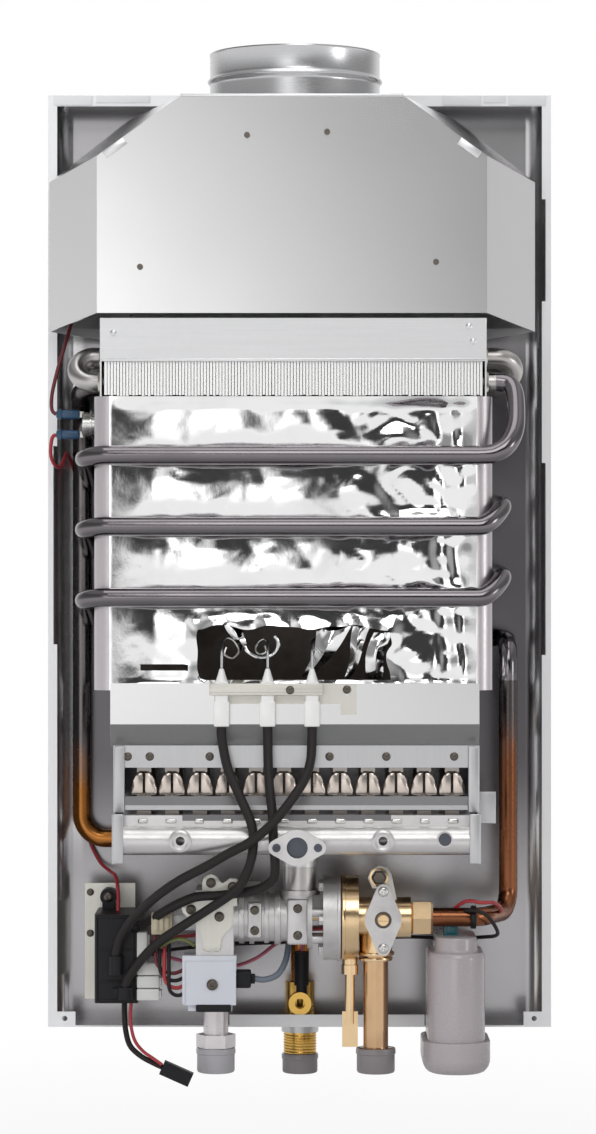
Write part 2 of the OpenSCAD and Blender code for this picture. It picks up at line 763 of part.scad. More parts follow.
module igniter_bracket() {
  color("lightgray")
    difference() {
      union() {
        block(ign_x0 - 9, ign_x0 + 24, ign_d0 - 1.5, ign_d0, 20, 96);
        block(ign_x0 - 9, ign_x0 - 7.5, sheet, ign_d0, 30, 80);
        block(ign_x0 - 9, ign_x0 + 6, sheet, sheet + 1.5, 30, 80);
      }
      bar_y(ign_x0 + 7, ign_d0 - 3, ign_d0 + 1, 88, 2.5);
    }
}

module gas_riser() {
  color("gray")
    difference() {
      union() {
        bar_z(0, boss_d, 95, 113, 10.4);
        bar_z(0, boss_d, 95, 98, 13);
      }
      bar_z(0, boss_d, 94, 114, 7);
    }
}

module gas_valve_body() {
  color("darkgray")
    difference() {
      union() {
        bar_x(-42, 8, valve_d, valve_z, 15.4);
        bar_x(-32, -29, valve_d, valve_z, 17);
        bar_x(5, 8, valve_d, valve_z, 20);
        bar_z(0, boss_d, valve_z, 95, 12);
        block(-66, -42, valve_d - 32, plate_d, box_z0, 98);
        block(-40, -24, valve_d - 20, valve_d - 10, 70, 90);
        block(-16, 0, valve_d - 20, valve_d - 10, 74, 86);
        for (a = [75, 140, 215])
          bar_x(6, cover_x0, valve_d + 17 * sin(a), valve_z + 17 * cos(a), 3);
      }
      // gas passages: lower room, seat hole, upper room, main bore, poppet seat and outlet
      block(-63, -45, valve_d - 29, plate_d - 3, box_z0 + 3, 68);
      bar_z(gas_x, gas_d, box_z0 - 1, box_z0 + 5, bore_r);
      bar_z(sol_x, sol_d, 67, 72, 5);
      bar_z(sol_x, sol_d, box_z0 - 1, box_z0 + 4, 2.2 + gap);
      block(-63, -48, valve_d - 16, plate_d - 3, 71, 94);
      bar_x(-52, -10, valve_d, valve_z, 10.5);
      bar_x(-11, -6, valve_d, valve_z, 5.5);
      bar_x(-7, 5, valve_d, valve_z, 10.5);
      bar_x(4, 9, valve_d, valve_z, 2 + gap);
      bar_z(0, boss_d, valve_z, 96, 7);
      block(-14, 9, valve_d - 23, valve_d + 23, 95, 101);
      block(8, 13, valve_d - 9, valve_d + 13.2, 79, 96);
    }
}

module gas_valve_plate() {
  color("silver")
    difference() {
      union() {
        block(-66, -44, plate_d, plate_d + 3, 60, 98);
        for (p = [[-56.3, 103], [-69, 86], [-42.5, 100.5]])
          bar_y(p[0], plate_d, plate_d + 3, p[1], 5.5);
        block(-61.8, -50.8, plate_d, plate_d + 3, 96, 103);
        block(-69, -64, plate_d, plate_d + 3, 80.5, 91.5);
        block(-48, -42.5, plate_d, plate_d + 3, 95, 106);
      }
      for (p = [[-56.3, 103], [-69, 86], [-42.5, 100.5]])
        bar_y(p[0], plate_d - 1, plate_d + 4, p[1], 2);
    }
}

module valve_bracket() {
  color("lightgray") {
    block(-38, -26, sheet, valve_d - 20, 77, 79);
    block(-38, -26, sheet, sheet + 2, 60, 94);
    block(-38, -26, valve_d - 22, valve_d - 20, 71, 89);
  }
}

module gas_inlet() {
  color("gainsboro")
    difference() {
      union() {
        bar_z(gas_x, gas_d, 2.4, box_z0, stub_r);
        translate([gas_x, -gas_d, gas_thread - mount_z])
          cylinder(r = thread_r + 2.2, h = 2.4 - gas_thread, $fn = 6);
        bar_z(gas_x, gas_d, gas_thread - thread_l, gas_thread, thread_r);
      }
      bar_z(gas_x, gas_d, gas_thread - thread_l - 1, box_z0 + 1, bore_r);
    }
}

// A protective cap over a thread end: an outer cup and an inner plug
module thread_cap(x, d, z_top, z_end) {
  difference() {
    bar_z(x, d, z_end - gap - 2, z_top - gap, cap_out);
    bar_z(x, d, z_end - gap, z_top + 1, cap_in);
  }
  bar_z(x, d, z_end - gap - 1, z_end + 8, bore_r - gap);
}

module gas_cap() {
  color("darkgray")
    thread_cap(gas_x, gas_d, gas_thread, gas_thread - thread_l);
}

module solenoid_yoke() {
  color("lightsteelblue")
    difference() {
      union() {
        block(-74, -40.5, valve_d - 14.5, valve_d + 11, 25, box_z0);
        block(-71, -43, valve_d - 12, valve_d + 8, 21, 25);
      }
      block(-72, -42.5, valve_d - 13, valve_d + 9.5, 27, box_z0 - 2);
      bar_z(sol_x, sol_d, box_z0 - 3, box_z0 + 1, 4 + gap);
    }
}

module solenoid_coil() {
  color("peru")
    difference() {
      union() {
        bar_z(sol_x, sol_d, 27, 53, 8.6);
        bar_z(sol_x, sol_d, 27, 29, 10);
        bar_z(sol_x, sol_d, 51, 53, 10);
      }
      bar_z(sol_x, sol_d, 30, 54, 4 + gap);
    }
}

module solenoid_plunger() {
  color("gray") {
    bar_z(sol_x, sol_d, 31, box_z0 - 4, 4);
    bar_z(sol_x, sol_d, box_z0 - 5, 72, 2.2);
    bar_z(sol_x, sol_d, 71 + gap, 74, 7);
  }
}

module water_valve_body() {
  color("goldenrod")
    difference() {
      union() {
        bar_x(brass_x0, brass_x1, valve_d, valve_z, housing_r);
        bar_x(brass_x1 - 1, nipple_x, valve_d, valve_z, 13);
        bar_x(nipple_x - 1, pipe_end, valve_d, valve_z, 8);
        bar_z(cold_x, valve_d, cold_top, valve_z, 10.5);
        bar_y(reg_x, valve_d, reg_d, valve_z, 12);
        bar_z(drain_x, valve_d, valve_z - housing_r - 3, valve_z - housing_r + 4, 4.9);
      }
      bar_x(brass_x0 - 1, brass_x0 + 7, valve_d, valve_z, 21);
      bar_x(brass_x0 + 5, pipe_end + 1, valve_d, valve_z, tube_r - tube_wall);
      bar_z(cold_x, valve_d, cold_top - 1, valve_z, bore_r);
      bar_y(reg_x, valve_d + 3, reg_d + 1, valve_z, 5 + gap);
      bar_z(drain_x, valve_d, valve_z - housing_r - 4, valve_z - housing_r + 7, 3 + gap);
    }
}

module diaphragm_cover() {
  color("darkgray")
    difference() {
      bar_x(cover_x0, cover_x1, valve_d, valve_z, housing_r);
      bar_x(cover_x0 + 2, cover_x1 + 1, valve_d, valve_z, 21);
      bar_x(cover_x0 - 1, cover_x0 + 3, valve_d, valve_z, 2 + gap);
    }
}

module diaphragm() {
  color("black")
    bar_x(cover_x1, brass_x0, valve_d, valve_z, housing_r - 0.5);
}

module push_rod() {
  color("goldenrod") {
    bar_x(-12, cover_x1 - gap, valve_d, valve_z, 2);
    bar_x(cover_x1 - gap - 2, cover_x1 - gap, valve_d, valve_z, 16);
    bar_x(-10 - gap - 3, -10 - gap, valve_d, valve_z, 8);
    block(cover_x0 - 2, cover_x0 - 0.6, switch_d - 2, valve_d, valve_z - 2.5, valve_z + 2.5);
  }
}

module microswitch() {
  color("dimgray")
    difference() {
      block(-16, 3, valve_d - 29, valve_d - 20, 73, 87);
      bar_x(-5, 4, switch_d, valve_z, 1.5 + gap);
    }
}

module switch_button() {
  color("firebrick")
    bar_x(-4 + rod_travel, cover_x0 - 2 - gap, switch_d, valve_z, 1.5);
}

module regulator_plate() {
  color("darkgray")
    difference() {
      translate([reg_x, -reg_d, valve_z - mount_z])
        rotate([90, 0, 0])
          linear_extrude(4)
            rotate([0, 0, 90])
              diamond(11.5, 4.6, 18);
      bar_y(reg_x, reg_d - 1, reg_d + 5, valve_z, 5 + gap);
      for (s = [-1, 1])
        bar_y(reg_x, reg_d - 1, reg_d + 5, valve_z + s * 18, 1.8);
    }
}

module regulator_spindle() {
  color("goldenrod")
    difference() {
      union() {
        bar_y(reg_x, valve_d + 5, reg_d + 2, valve_z, 5);
        bar_y(reg_x, reg_d + 1, reg_d + 7, valve_z, 3.4);
      }
      block(reg_x - 4, reg_x + 4, reg_d + 5.5, reg_d + 8, valve_z - 0.6, valve_z + 0.6);
    }
}

module union_nut() {
  color("goldenrod")
    difference() {
      translate([nipple_x, -valve_d, valve_z - mount_z])
        rotate([0, 90, 0])
          cylinder(r = 11.8, h = nut_x1 - nipple_x, $fn = 6);
      bar_x(nipple_x - 1, pipe_end + 1, valve_d, valve_z, 8 + tube_gap);
      bar_x(pipe_end, nut_x1 + 1, valve_d, valve_z, tube_r + tube_gap);
    }
}

module cold_inlet_pipe() {
  color("peru")
    difference() {
      union() {
        bar_z(cold_x, valve_d, cold_thread, cold_top, stub_r);
        bar_z(cold_x, valve_d, cold_thread - thread_l, cold_thread, thread_r);
      }
      bar_z(cold_x, valve_d, cold_thread - thread_l - 1, cold_top + 1, bore_r);
    }
}

module cold_cap() {
  color("darkgray")
    thread_cap(cold_x, valve_d, cold_thread, cold_thread - thread_l);
}

module drain_plug() {
  top = valve_z - housing_r - 3;
  color("goldenrod") {
    bar_z(drain_x, valve_d, top - 1, top + 8, 3);
    bar_z(drain_x, valve_d, top - gap - 6, top - gap, 5.4);
    bar_z(drain_x, valve_d, 12, top - gap - 5, 3.2);
    block(drain_x - 5, drain_x + 5, valve_d - 2, valve_d + 2, -2.7, 20);
  }
}

module hot_outlet() {
  color("goldenrod")
    difference() {
      union() {
        bar_z(hot_x0, hot_d, floor_z, 30, 9.5);
        bar_z(hot_x0, hot_d, floor_z, floor_z + 2.5, 13.5);
        bar_y(hot_x0, hot_d, 43.8, 17, 7.5);
        bar_z(hot_x0, hot_d, hot_thread - thread_l, hot_thread, thread_r);
        bar_z(hot_x0, hot_d, hot_thread - 1, floor_z + 1, thread_r - 0.4);
      }
      bar_z(hot_x0, hot_d, hot_thread - thread_l - 1, 22, hot_bore);
      bar_z(hot_x0, hot_d, 20, 31, tube_r - tube_wall);
      bar_y(hot_x0, 33, 45, 17, 3.4);
    }
}

module outlet_probe() {
  color("dimgray")
    difference() {
      union() {
        bar_z(hot_x0 + 1, 39.7, 20, 30, 3.6);
        bar_z(hot_x0 + 1, 40.5, 29, 51, 4.8);
      }
      bar_y(hot_x0, 26, 46, 17, 7.5);
    }
}

module outlet_locknut() {
  color("gainsboro")
    difference() {
      bar_z(hot_x0, hot_d, hot_thread, panel_z0, 12.2);
      bar_z(hot_x0, hot_d, hot_thread - 1, panel_z0 + 1, thread_r + tube_gap);
    }
}

module hot_cap() {
  end = hot_thread - thread_l;
  color("darkgray") {
    bar_z(hot_x0, hot_d, end - gap - 13, end - gap, 11.6);
    bar_z(hot_x0, hot_d, end - gap - 1, end + 9, hot_bore - gap);
  }
}

module battery_box() {
  color("darkgray")
    difference() {
      union() {
        oblong(bat_x, cell_dep, bat_z0 - 8, bat_top, bat_out);
        oblong(bat_x, cell_dep, bat_top - 1, 68, bat_out - 5);
        // tongue on the panel's bottom flange
        block(bat_x - 11, bat_x + 11, 14, cell_dep[0], floor_z, floor_z + 3);
        // hinge lugs and pin
        for (s = [-1, 1])
          difference() {
            block(bat_x + s * 9 - 1.5, bat_x + s * 9 + 1.5, hinge_dep - 2.5, cell_dep[0], hinge_z - 2.5,
              floor_z + 2);
            block(bat_x - 20, bat_x + 20, cell_dep[0] - lid_out - gap, 140, hinge_z - 9, lid_z1 + gap);
          }
        bar_x(bat_x - 10, bat_x + 10, hinge_dep, hinge_z, 1.2);
      }
      oblong(bat_x, cell_dep, bat_z0 - 9, bat_top - 1.7, bat_in);
    }
}

module battery_lid() {
  color("darkgray")
    difference() {
      union() {
        oblong(bat_x, cell_dep, lid_z0 + 6, lid_z1, lid_out);
        oblong(bat_x, cell_dep, lid_z0, lid_z0 + 7, lid_out - 2.5);
        difference() {
          union() {
            bar_x(bat_x - 7, bat_x + 7, hinge_dep, hinge_z, 2.4);
            block(bat_x - 7, bat_x + 7, hinge_dep, cell_dep[0] - lid_out + 3, hinge_z - 2.4, hinge_z);
          }
          bar_x(bat_x - 8, bat_x + 8, hinge_dep, hinge_z, 1.2 + gap);
        }
      }
      oblong(bat_x, cell_dep, lid_z0 + 2, lid_z1 + 1, lid_in);
    }
}

module battery_cells() {
  color("saddlebrown")
    for (d = cell_dep) {
      bar_z(bat_x, d, bat_top - 1.7 - 1.5 - cell_l, bat_top - 1.7 - 1.5, cell_r);
      bar_z(bat_x, d, bat_top - 1.7 - 2.5, bat_top - 1.7, 4.7);
    }
}

// Routes of the small leads: x, depth, height
display_route = [[ign_x0 + 19, 84, 23], [ign_x0 + 19, 85, 15], [-112, 88, 5], [-109, 93, -4], [-102, 98, -10],
  [-94, 101, -14],
  [-88, 103, -16.5]];
overheat_route = [[-157.9, 74, 389.5], [-160.5, 73.5, 387], [-161.5, 71, 377], [-159.5, 66, 370.5],
  [-156.5, 58, 369], [-154.5, 46, 374], [-154, 30, 379], [-153.8, 14, 378], [-151, 6, 370],
  [-146.5, 4.8, 355], [-144.5, 4.8, 330], [-144.5, 4.8, 250], [-144.5, 4.8, 170], [-144, 4.8, 140],
  [-140, 6, 122], [-133, 10, 108], [ign_x0 + 6, 20, 102.5], [ign_x0 + 10.5, 38, 101], [ign_x0 + 13, 54, 96],
  [ign_x0 + 14, 63, 88],
  [ign_x0 + 14, 66, 80]];
probe_route = [[1.3, 40.5, 51], [0.5, 42, 58], [-6, 50, 62], [-16, 64, 58], [-28, 72, 50], [-44, 68, 44],
  [-62, 66, 44], [-80, 70, 49], [-94, 76, 54],
  [ign_x1, 78, 55]];

module display_lead() {
  color("black")
    lead(display_route, 1.8, 8, [0, 1, 0]);
}

module display_plug() {
  color("black")
    translate(p3([-88, 103, -16.5]))
      rotate([0, 24, 0])
        difference() {
          translate([0, -4, -4.5])
            cube([20, 8, 9]);
          translate([16, -3, -3.2])
            cube([5, 6, 6.4]);
        }
}

module overheat_lead() {
  color("red")
    lead(overheat_route, 1.2, 8, [1, 0.2, 0]);
}

module probe_lead() {
  color("red")
    lead(probe_route, 1.2, 8, [0.2, 0, 1]);
}

back_panel();
flue_hood();
flue_collar();
hood_screws();
fin_box();
fin_stack();
fin_tubes();
combustion_chamber();
chamber_brackets();
coil_tube();
hot_pipe();
cold_riser();
overheat_switch();
burner_side_plates();
flame_deflector();
burner_bars();
burner_blades();
gas_manifold();
injectors();
manifold_screws();
electrode_bracket();
electrode_insulators();
electrode_rods();
ignition_lead_left();
ignition_lead_middle();
ignition_lead_right();
igniter_box();
igniter_bracket();
gas_riser();
gas_valve_body();
gas_valve_plate();
valve_bracket();
gas_inlet();
gas_cap();
solenoid_yoke();
solenoid_coil();
solenoid_plunger();
water_valve_body();
diaphragm_cover();
diaphragm();
push_rod();
microswitch();
switch_button();
regulator_plate();
regulator_spindle();
union_nut();
cold_inlet_pipe();
cold_cap();
drain_plug();
hot_outlet();
outlet_probe();
outlet_locknut();
hot_cap();
battery_box();
battery_lid();
battery_cells();
display_lead();
display_plug();
overheat_lead();
probe_lead();
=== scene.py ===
"""Looks of a wall-hung tankless gas water heater with its front cover off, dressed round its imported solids.

Forms are given in millimetres as x, depth in front of the wall and height above the heater's bottom line.
MOUNT_Z is the height of the frame's origin there, MERGE the distance in metres under which points are one,
and POINTED the radius in millimetres under which a turned form ends in a point.
"""

from __future__ import annotations

import json
import logging
import math
from dataclasses import dataclass
from enum import Enum
from typing import Any, Callable, Iterable, Sequence

import bmesh
import bpy
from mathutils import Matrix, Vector, noise

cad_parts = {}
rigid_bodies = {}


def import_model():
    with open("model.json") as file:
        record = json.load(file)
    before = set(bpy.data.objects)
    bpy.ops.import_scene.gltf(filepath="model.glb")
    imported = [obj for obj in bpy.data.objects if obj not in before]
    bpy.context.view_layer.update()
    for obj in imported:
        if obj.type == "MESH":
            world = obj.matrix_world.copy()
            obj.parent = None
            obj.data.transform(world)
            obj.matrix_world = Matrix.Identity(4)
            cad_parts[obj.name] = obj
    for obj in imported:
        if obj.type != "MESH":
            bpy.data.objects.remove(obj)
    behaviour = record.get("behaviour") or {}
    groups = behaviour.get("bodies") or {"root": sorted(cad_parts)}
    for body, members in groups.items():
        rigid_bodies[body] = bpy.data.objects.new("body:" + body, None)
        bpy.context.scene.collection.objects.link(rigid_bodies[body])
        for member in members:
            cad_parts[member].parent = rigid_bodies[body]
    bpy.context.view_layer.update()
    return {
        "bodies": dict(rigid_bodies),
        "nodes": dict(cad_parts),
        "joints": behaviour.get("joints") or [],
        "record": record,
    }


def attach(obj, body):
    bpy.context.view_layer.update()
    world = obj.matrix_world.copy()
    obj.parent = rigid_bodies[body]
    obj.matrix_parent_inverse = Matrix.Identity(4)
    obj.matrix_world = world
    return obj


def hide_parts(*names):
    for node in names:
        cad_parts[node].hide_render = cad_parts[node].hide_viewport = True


LOG = logging.getLogger("heater")
MM = 0.001
MOUNT_Z = 307.5
MERGE = 1e-6
POINTED = 0.01
HEATER = "heater"
Point = tuple[float, float, float]
Colour = tuple[float, float, float]
Pair = tuple[float, float]
Spot = tuple[float, float, float, float, float]


def row(p: Sequence[float]) -> Vector:
    """Turns x, depth and height in millimetres into a point of the frame in metres."""
    return Vector((p[0] * MM, -p[1] * MM, (p[2] - MOUNT_Z) * MM))


def metres(limits: Sequence[float]) -> list[float]:
    """Turns limits in millimetres into metres."""
    return [limit * MM for limit in limits]


class Axis(Enum):
    """Directions in which a form is drawn out or turned, as x, depth, height."""

    ACROSS = (1.0, 0.0, 0.0)
    FORWARD = (0.0, 1.0, 0.0)
    UP = (0.0, 0.0, 1.0)


class Crease(Enum):
    """Angles in degrees under which a form's edges are shaded smooth."""

    FLATS = 25.0
    FORM = 35.0
    THREAD = 50.0
    ROUND = 60.0


# Shader building


@dataclass(frozen=True)
class Sock:
    """A node's output that takes part in expressions."""

    nodes: "Nodes"
    socket: bpy.types.NodeSocket

    def _op(self, operation: str, left: Any, right: Any) -> "Sock":
        """Adds one Math node."""
        return self.nodes.add("ShaderNodeMath", {"operation": operation}, {0: left, 1: right})

    def __add__(self, other: Any) -> "Sock":
        """Sum."""
        return self._op("ADD", self, other)

    def __radd__(self, other: Any) -> "Sock":
        """Sum from the right."""
        return self._op("ADD", other, self)

    def __sub__(self, other: Any) -> "Sock":
        """Difference."""
        return self._op("SUBTRACT", self, other)

    def __rsub__(self, other: Any) -> "Sock":
        """Difference from the right."""
        return self._op("SUBTRACT", other, self)

    def __mul__(self, other: Any) -> "Sock":
        """Product."""
        return self._op("MULTIPLY", self, other)

    def __neg__(self) -> "Sock":
        """The same with its sign changed."""
        return self._op("SUBTRACT", 0.0, self)

    def smooth(self, low: float, high: float) -> "Sock":
        """Smooth step from 0 at low to 1 at high."""
        return self.nodes.add(
            "ShaderNodeMapRange", {"interpolation_type": "SMOOTHSTEP"},
            {0: self, 1: low, 2: high, 3: 0.0, 4: 1.0}
        )

    def band(self, low: float, full: float, last: float, high: float) -> "Sock":
        """Rises from 0 at low to 1 at full, and falls from 1 at last to 0 at high."""
        return self.smooth(low, full) * (1 - self.smooth(last, high))


class Nodes:
    """Adds shader nodes to one tree and hands back their outputs."""

    def __init__(self, tree: bpy.types.NodeTree) -> None:
        """Starts with an empty tree."""
        self.tree = tree
        tree.nodes.clear()

    def add(
        self, kind: str, settings: dict[str, Any] | None = None,
        inputs: dict[Any, Any] | None = None, out: Any = 0
    ) -> Sock:
        """Adds one node.

        Args:
            kind: the node's type.
            settings: its properties, set first.
            inputs: values or outputs for its sockets, by name or number.
            out: the output to hand back.

        Returns:
            That output.
        """
        node = self.tree.nodes.new(kind)
        for key, value in (settings or {}).items():
            setattr(node, key, value)
        for key, value in (inputs or {}).items():
            if isinstance(value, Sock):
                self.tree.links.new(value.socket, node.inputs[key])
            elif isinstance(value, tuple) and len(value) == 3 and node.inputs[key].type == "RGBA":
                node.inputs[key].default_value = (*value, 1.0)
            else:
                node.inputs[key].default_value = value
        return Sock(self, node.outputs[out])

    def place(self, scale: Point = (1, 1, 1)) -> Sock:
        """Object coordinates, stretched along each axis."""
        coords = self.add("ShaderNodeTexCoord", out="Object")
        return self.add("ShaderNodeMapping", None, {"Vector": coords, "Scale": scale})

    def axes(self, space: str = "Object") -> dict[str, Sock]:
        """The coordinates of a space, each under its letter."""
        coords = self.add("ShaderNodeTexCoord", out=space)
        return {letter: self.add("ShaderNodeSeparateXYZ", None, {0: coords}, out=letter) for letter in "XYZ"}

    def noise(
        self, scale: float, detail: float = 3.0, stretch: Point = (1, 1, 1), rough: float = 0.5
    ) -> Sock:
        """Noise over the object's own space, from 0 to 1."""
        return self.add(
            "ShaderNodeTexNoise", None,
            {"Vector": self.place(stretch), "Scale": scale, "Detail": detail, "Roughness": rough},
        )

    def mix(self, factor: Any, low: Any, high: Any) -> Sock:
        """Blends two colours by a factor."""
        return self.add("ShaderNodeMix", {"data_type": "RGBA"}, {0: factor, 6: low, 7: high}, out=2)

    def bump(self, height: Sock, strength: float, distance: float) -> Sock:
        """A normal from a height, its distance in millimetres."""
        return self.add(
            "ShaderNodeBump", None, {"Height": height, "Strength": strength, "Distance": distance * MM}
        )

    def surface(self, **sockets: Any) -> None:
        """Ends the tree in a Principled shader.

        Args:
            sockets: its inputs by name, with underscores for spaces.
        """
        inputs = {key.replace("_", " "): value for key, value in sockets.items()}
        self.end(self.add("ShaderNodeBsdfPrincipled", None, inputs))

    def end(self, shader: Sock, kind: str = "ShaderNodeOutputMaterial") -> None:
        """Joins a shader to an output node of a kind."""
        output = self.tree.nodes.new(kind)
        self.tree.links.new(shader.socket, output.inputs["Surface"])


@dataclass(frozen=True)
class Finish:
    """A finish with a name and the record's material slot; each kind lays its own nodes."""

    name: str
    colour: Colour
    slot: str

    def lay(self, nodes: Nodes) -> None:
        """Lays the finish's nodes."""
        raise NotImplementedError

    def material(self) -> bpy.types.Material:
        """The finish's material, made on first use."""
        found = bpy.data.materials.get(self.name)
        if found is None:
            found = bpy.data.materials.new(self.name)
            found.use_nodes = True
            found.diffuse_color = (*self.colour, 1.0)
            self.lay(Nodes(found.node_tree))
        return found


def shade(colour: Colour, k: float) -> Colour:
    """A colour made lighter or darker by a factor, kept within 0 to 1."""
    return tuple(min(1.0, c * k) for c in colour)


@dataclass(frozen=True)
class SheetMetal(Finish):
    """Rolled sheet with a crystal spangle, fine rolling lines and patches of tarnish."""

    rough: float = 0.34
    spangle: float = 0.10
    lines: float = 0.06
    tarnish: float = 0.12
    cells: float = 420.0
    stretch: Point = (3.0, 3.0, 0.06)
    metal: float = 1.0
    relief: float = 0.06

    def lay(self, nodes: Nodes) -> None:
        """Lays spangle, lines and tarnish over the base colour."""
        cells = nodes.add(
            "ShaderNodeTexVoronoi", {"feature": "F1"},
            {"Vector": nodes.place(), "Scale": self.cells}, out="Color"
        )
        grey = nodes.add("ShaderNodeSeparateColor", None, {0: cells})
        streak = nodes.noise(260.0, 4.0, self.stretch)
        patch = nodes.noise(9.0, 4.0).smooth(0.20, 0.85)
        tone = nodes.mix(grey * self.spangle, self.colour, shade(self.colour, 0.55))
        tone = nodes.mix(streak.smooth(0.35, 0.75) * self.lines, tone, shade(self.colour, 0.45))
        tone = nodes.mix(patch * self.tarnish, tone, shade(self.colour, 0.6))
        rough = (
            self.rough + (grey - 0.5) * self.spangle + (streak - 0.5) * self.lines
            + patch * self.tarnish * 0.4
        )
        nodes.surface(
            Base_Color=tone, Metallic=self.metal, Roughness=rough,
            Normal=nodes.bump(streak, self.relief, 0.03)
        )


@dataclass(frozen=True)
class PanelSheet(Finish):
    """Satin steel pan with painted shadow beside the chamber, painted highlight at its left edge and right
    wall, and enamel on its front lips and outer sides.

    Limits are in millimetres, with heights above the frame's origin.
    """

    lip: Colour = (0.95, 0.95, 0.96)
    lip_depth: float = 43.9
    side: float = 163.4
    edge: float = 0.1
    # Colour of the painted highlight on the left edge strip and the right wall.
    bright: Colour = (0.74, 0.73, 0.74)
    right_wall: Pair = (154.5, 157.0)
    left_strip: Pair = (142.0, 147.0)
    left_rise: tuple[float, float, float, float] = (-210.0, -160.0, 150.0, 200.0)
    # Colour of the painted shadow beside the chamber.
    painted_shadow: Colour = (0.13, 0.122, 0.13)
    shadow_across: Pair = (85.0, 115.0)
    shadow_rise: tuple[float, float, float, float] = (-235.0, -125.0, 100.0, 170.0)
    rough: float = 0.24
    metal: float = 0.85

    def past(self, value: Sock, limit: float) -> Sock:
        """A mask that is 1 where a coordinate is past a limit."""
        return value.smooth(*metres((limit - self.edge, limit + self.edge)))

    def lay(self, nodes: Nodes) -> None:
        """Lays drawn steel with painted highlight at both edges and painted shadow between, and enamel on the
        lips.
        """
        axes = nodes.axes()
        across = nodes.add("ShaderNodeMath", {"operation": "ABSOLUTE"}, {0: axes["X"]})
        lip, outside = self.past(-axes["Y"], self.lip_depth), self.past(across, self.side)
        white = lip + outside - lip * outside
        cloud = nodes.noise(16.0, 4.0).smooth(0.40, 0.75)
        drawn = nodes.noise(240.0, 3.0, (2.5, 2.5, 0.05))
        # Painted highlight: lighter steel on the left edge strip and the right wall.
        highlit = (-axes["X"]).smooth(*metres(self.left_strip)) * axes["Z"].band(*metres(self.left_rise))
        highlit = highlit + axes["X"].smooth(*metres(self.right_wall))
        # Painted shadow: darker steel beside the chamber, kept off the highlit strips.
        heat = across.smooth(*metres(self.shadow_across)) * axes["Z"].band(*metres(self.shadow_rise)) * (1 - highlit)
        steel = nodes.mix(highlit, self.colour, self.bright)
        steel = nodes.mix(heat, steel, self.painted_shadow)
        steel = nodes.mix(cloud * 0.10, steel, shade(self.colour, 0.7))
        tone = nodes.mix(white, steel, self.lip)
        rough = self.rough + cloud * 0.05 + white * 0.16 + (drawn - 0.5) * 0.03
        nodes.surface(
            Base_Color=tone, Metallic=(1 - white) * self.metal, Roughness=rough,
            Normal=nodes.bump(drawn, 0.03, 0.02)
        )


@dataclass(frozen=True)
class Paint(Finish):
    """Baked paint on steel with a light orange peel and faint dust."""

    rough: float = 0.42

    def lay(self, nodes: Nodes) -> None:
        """Lays peel and dust."""
        peel = nodes.noise(700.0, 2.0)
        dust = nodes.noise(14.0, 5.0).smooth(0.45, 0.8)
        tone = nodes.mix(dust * 0.16, self.colour, shade(self.colour, 0.72))
        nodes.surface(
            Base_Color=tone, Roughness=self.rough + dust * 0.12, Coat_Weight=0.18, Coat_Roughness=0.25,
            Normal=nodes.bump(peel, 0.18, 0.06),
        )


@dataclass(frozen=True)
class BrightMetal(Finish):
    """Polished or tinned metal with draw marks, a dull bloom and optional heat tint."""

    rough: float = 0.14
    bloom: float = 0.25
    tint: Colour = (0.42, 0.36, 0.30)
    tint_share: float = 0.10
    marks: float = 0.25
    stretch: Point = (1.0, 1.0, 1.0)

    def lay(self, nodes: Nodes) -> None:
        """Lays bloom, marks and tint."""
        cloud = nodes.noise(38.0, 4.0).smooth(0.40, 0.75)
        mark = nodes.noise(420.0, 3.0, self.stretch)
        spots = nodes.noise(130.0, 5.0, rough=0.65).smooth(0.62, 0.78)
        tone = nodes.mix(cloud * self.tint_share, self.colour, self.tint)
        tone = nodes.mix(spots * self.tint_share, tone, shade(self.tint, 0.6))
        rough = self.rough + cloud * self.bloom * 0.35 + (mark - 0.5) * 0.10 + spots * 0.12
        nodes.surface(
            Base_Color=tone, Metallic=1.0, Roughness=rough, Normal=nodes.bump(mark, self.marks * 0.3, 0.03)
        )


@dataclass(frozen=True)
class HeatedPipe(Finish):
    """Copper pipe, tinned above a height and heat-tinted towards the change."""

    tinned: Colour = (0.66, 0.65, 0.65)
    change: float = 170.0
    band: float = 26.0

    def lay(self, nodes: Nodes) -> None:
        """Lays copper below and tin above, with a brown band between."""
        cloud = nodes.noise(45.0, 4.0)
        level = nodes.axes()["Z"] + (cloud - 0.5) * 0.05
        middle = (self.change - MOUNT_Z) * MM
        half = self.band * MM
        above = level.smooth(middle - half, middle + half)
        burnt = level.smooth(middle - 4 * half, middle) * (1 - above)
        spots = nodes.noise(190.0, 4.0, rough=0.6).smooth(0.55, 0.75)
        tone = nodes.mix(burnt * 0.55, self.colour, shade(self.colour, 0.42))
        tone = nodes.mix(spots * 0.35, tone, shade(self.colour, 0.55))
        tone = nodes.mix(above, tone, self.tinned)
        rough = 0.20 + cloud * 0.14 + spots * 0.10
        nodes.surface(Base_Color=tone, Metallic=1.0, Roughness=rough, Normal=nodes.bump(cloud, 0.06, 0.05))


@dataclass(frozen=True)
class Casting(Finish):
    """Die-cast or bead-blasted metal with a grainy skin and grime in patches."""

    rough: float = 0.40
    grain: float = 0.35
    grime: float = 0.30
    metal: float = 0.9

    def lay(self, nodes: Nodes) -> None:
        """Lays grain and grime."""
        grain = nodes.noise(1100.0, 3.0)
        cloud = nodes.noise(60.0, 5.0, rough=0.6).smooth(0.40, 0.78)
        tone = nodes.mix(cloud * self.grime, self.colour, shade(self.colour, 0.45))
        tone = nodes.mix(grain * 0.18, tone, shade(self.colour, 0.7))
        rough = self.rough + (grain - 0.5) * 0.2 + cloud * 0.12
        nodes.surface(
            Base_Color=tone, Metallic=self.metal, Roughness=rough, Normal=nodes.bump(grain, self.grain, 0.06)
        )


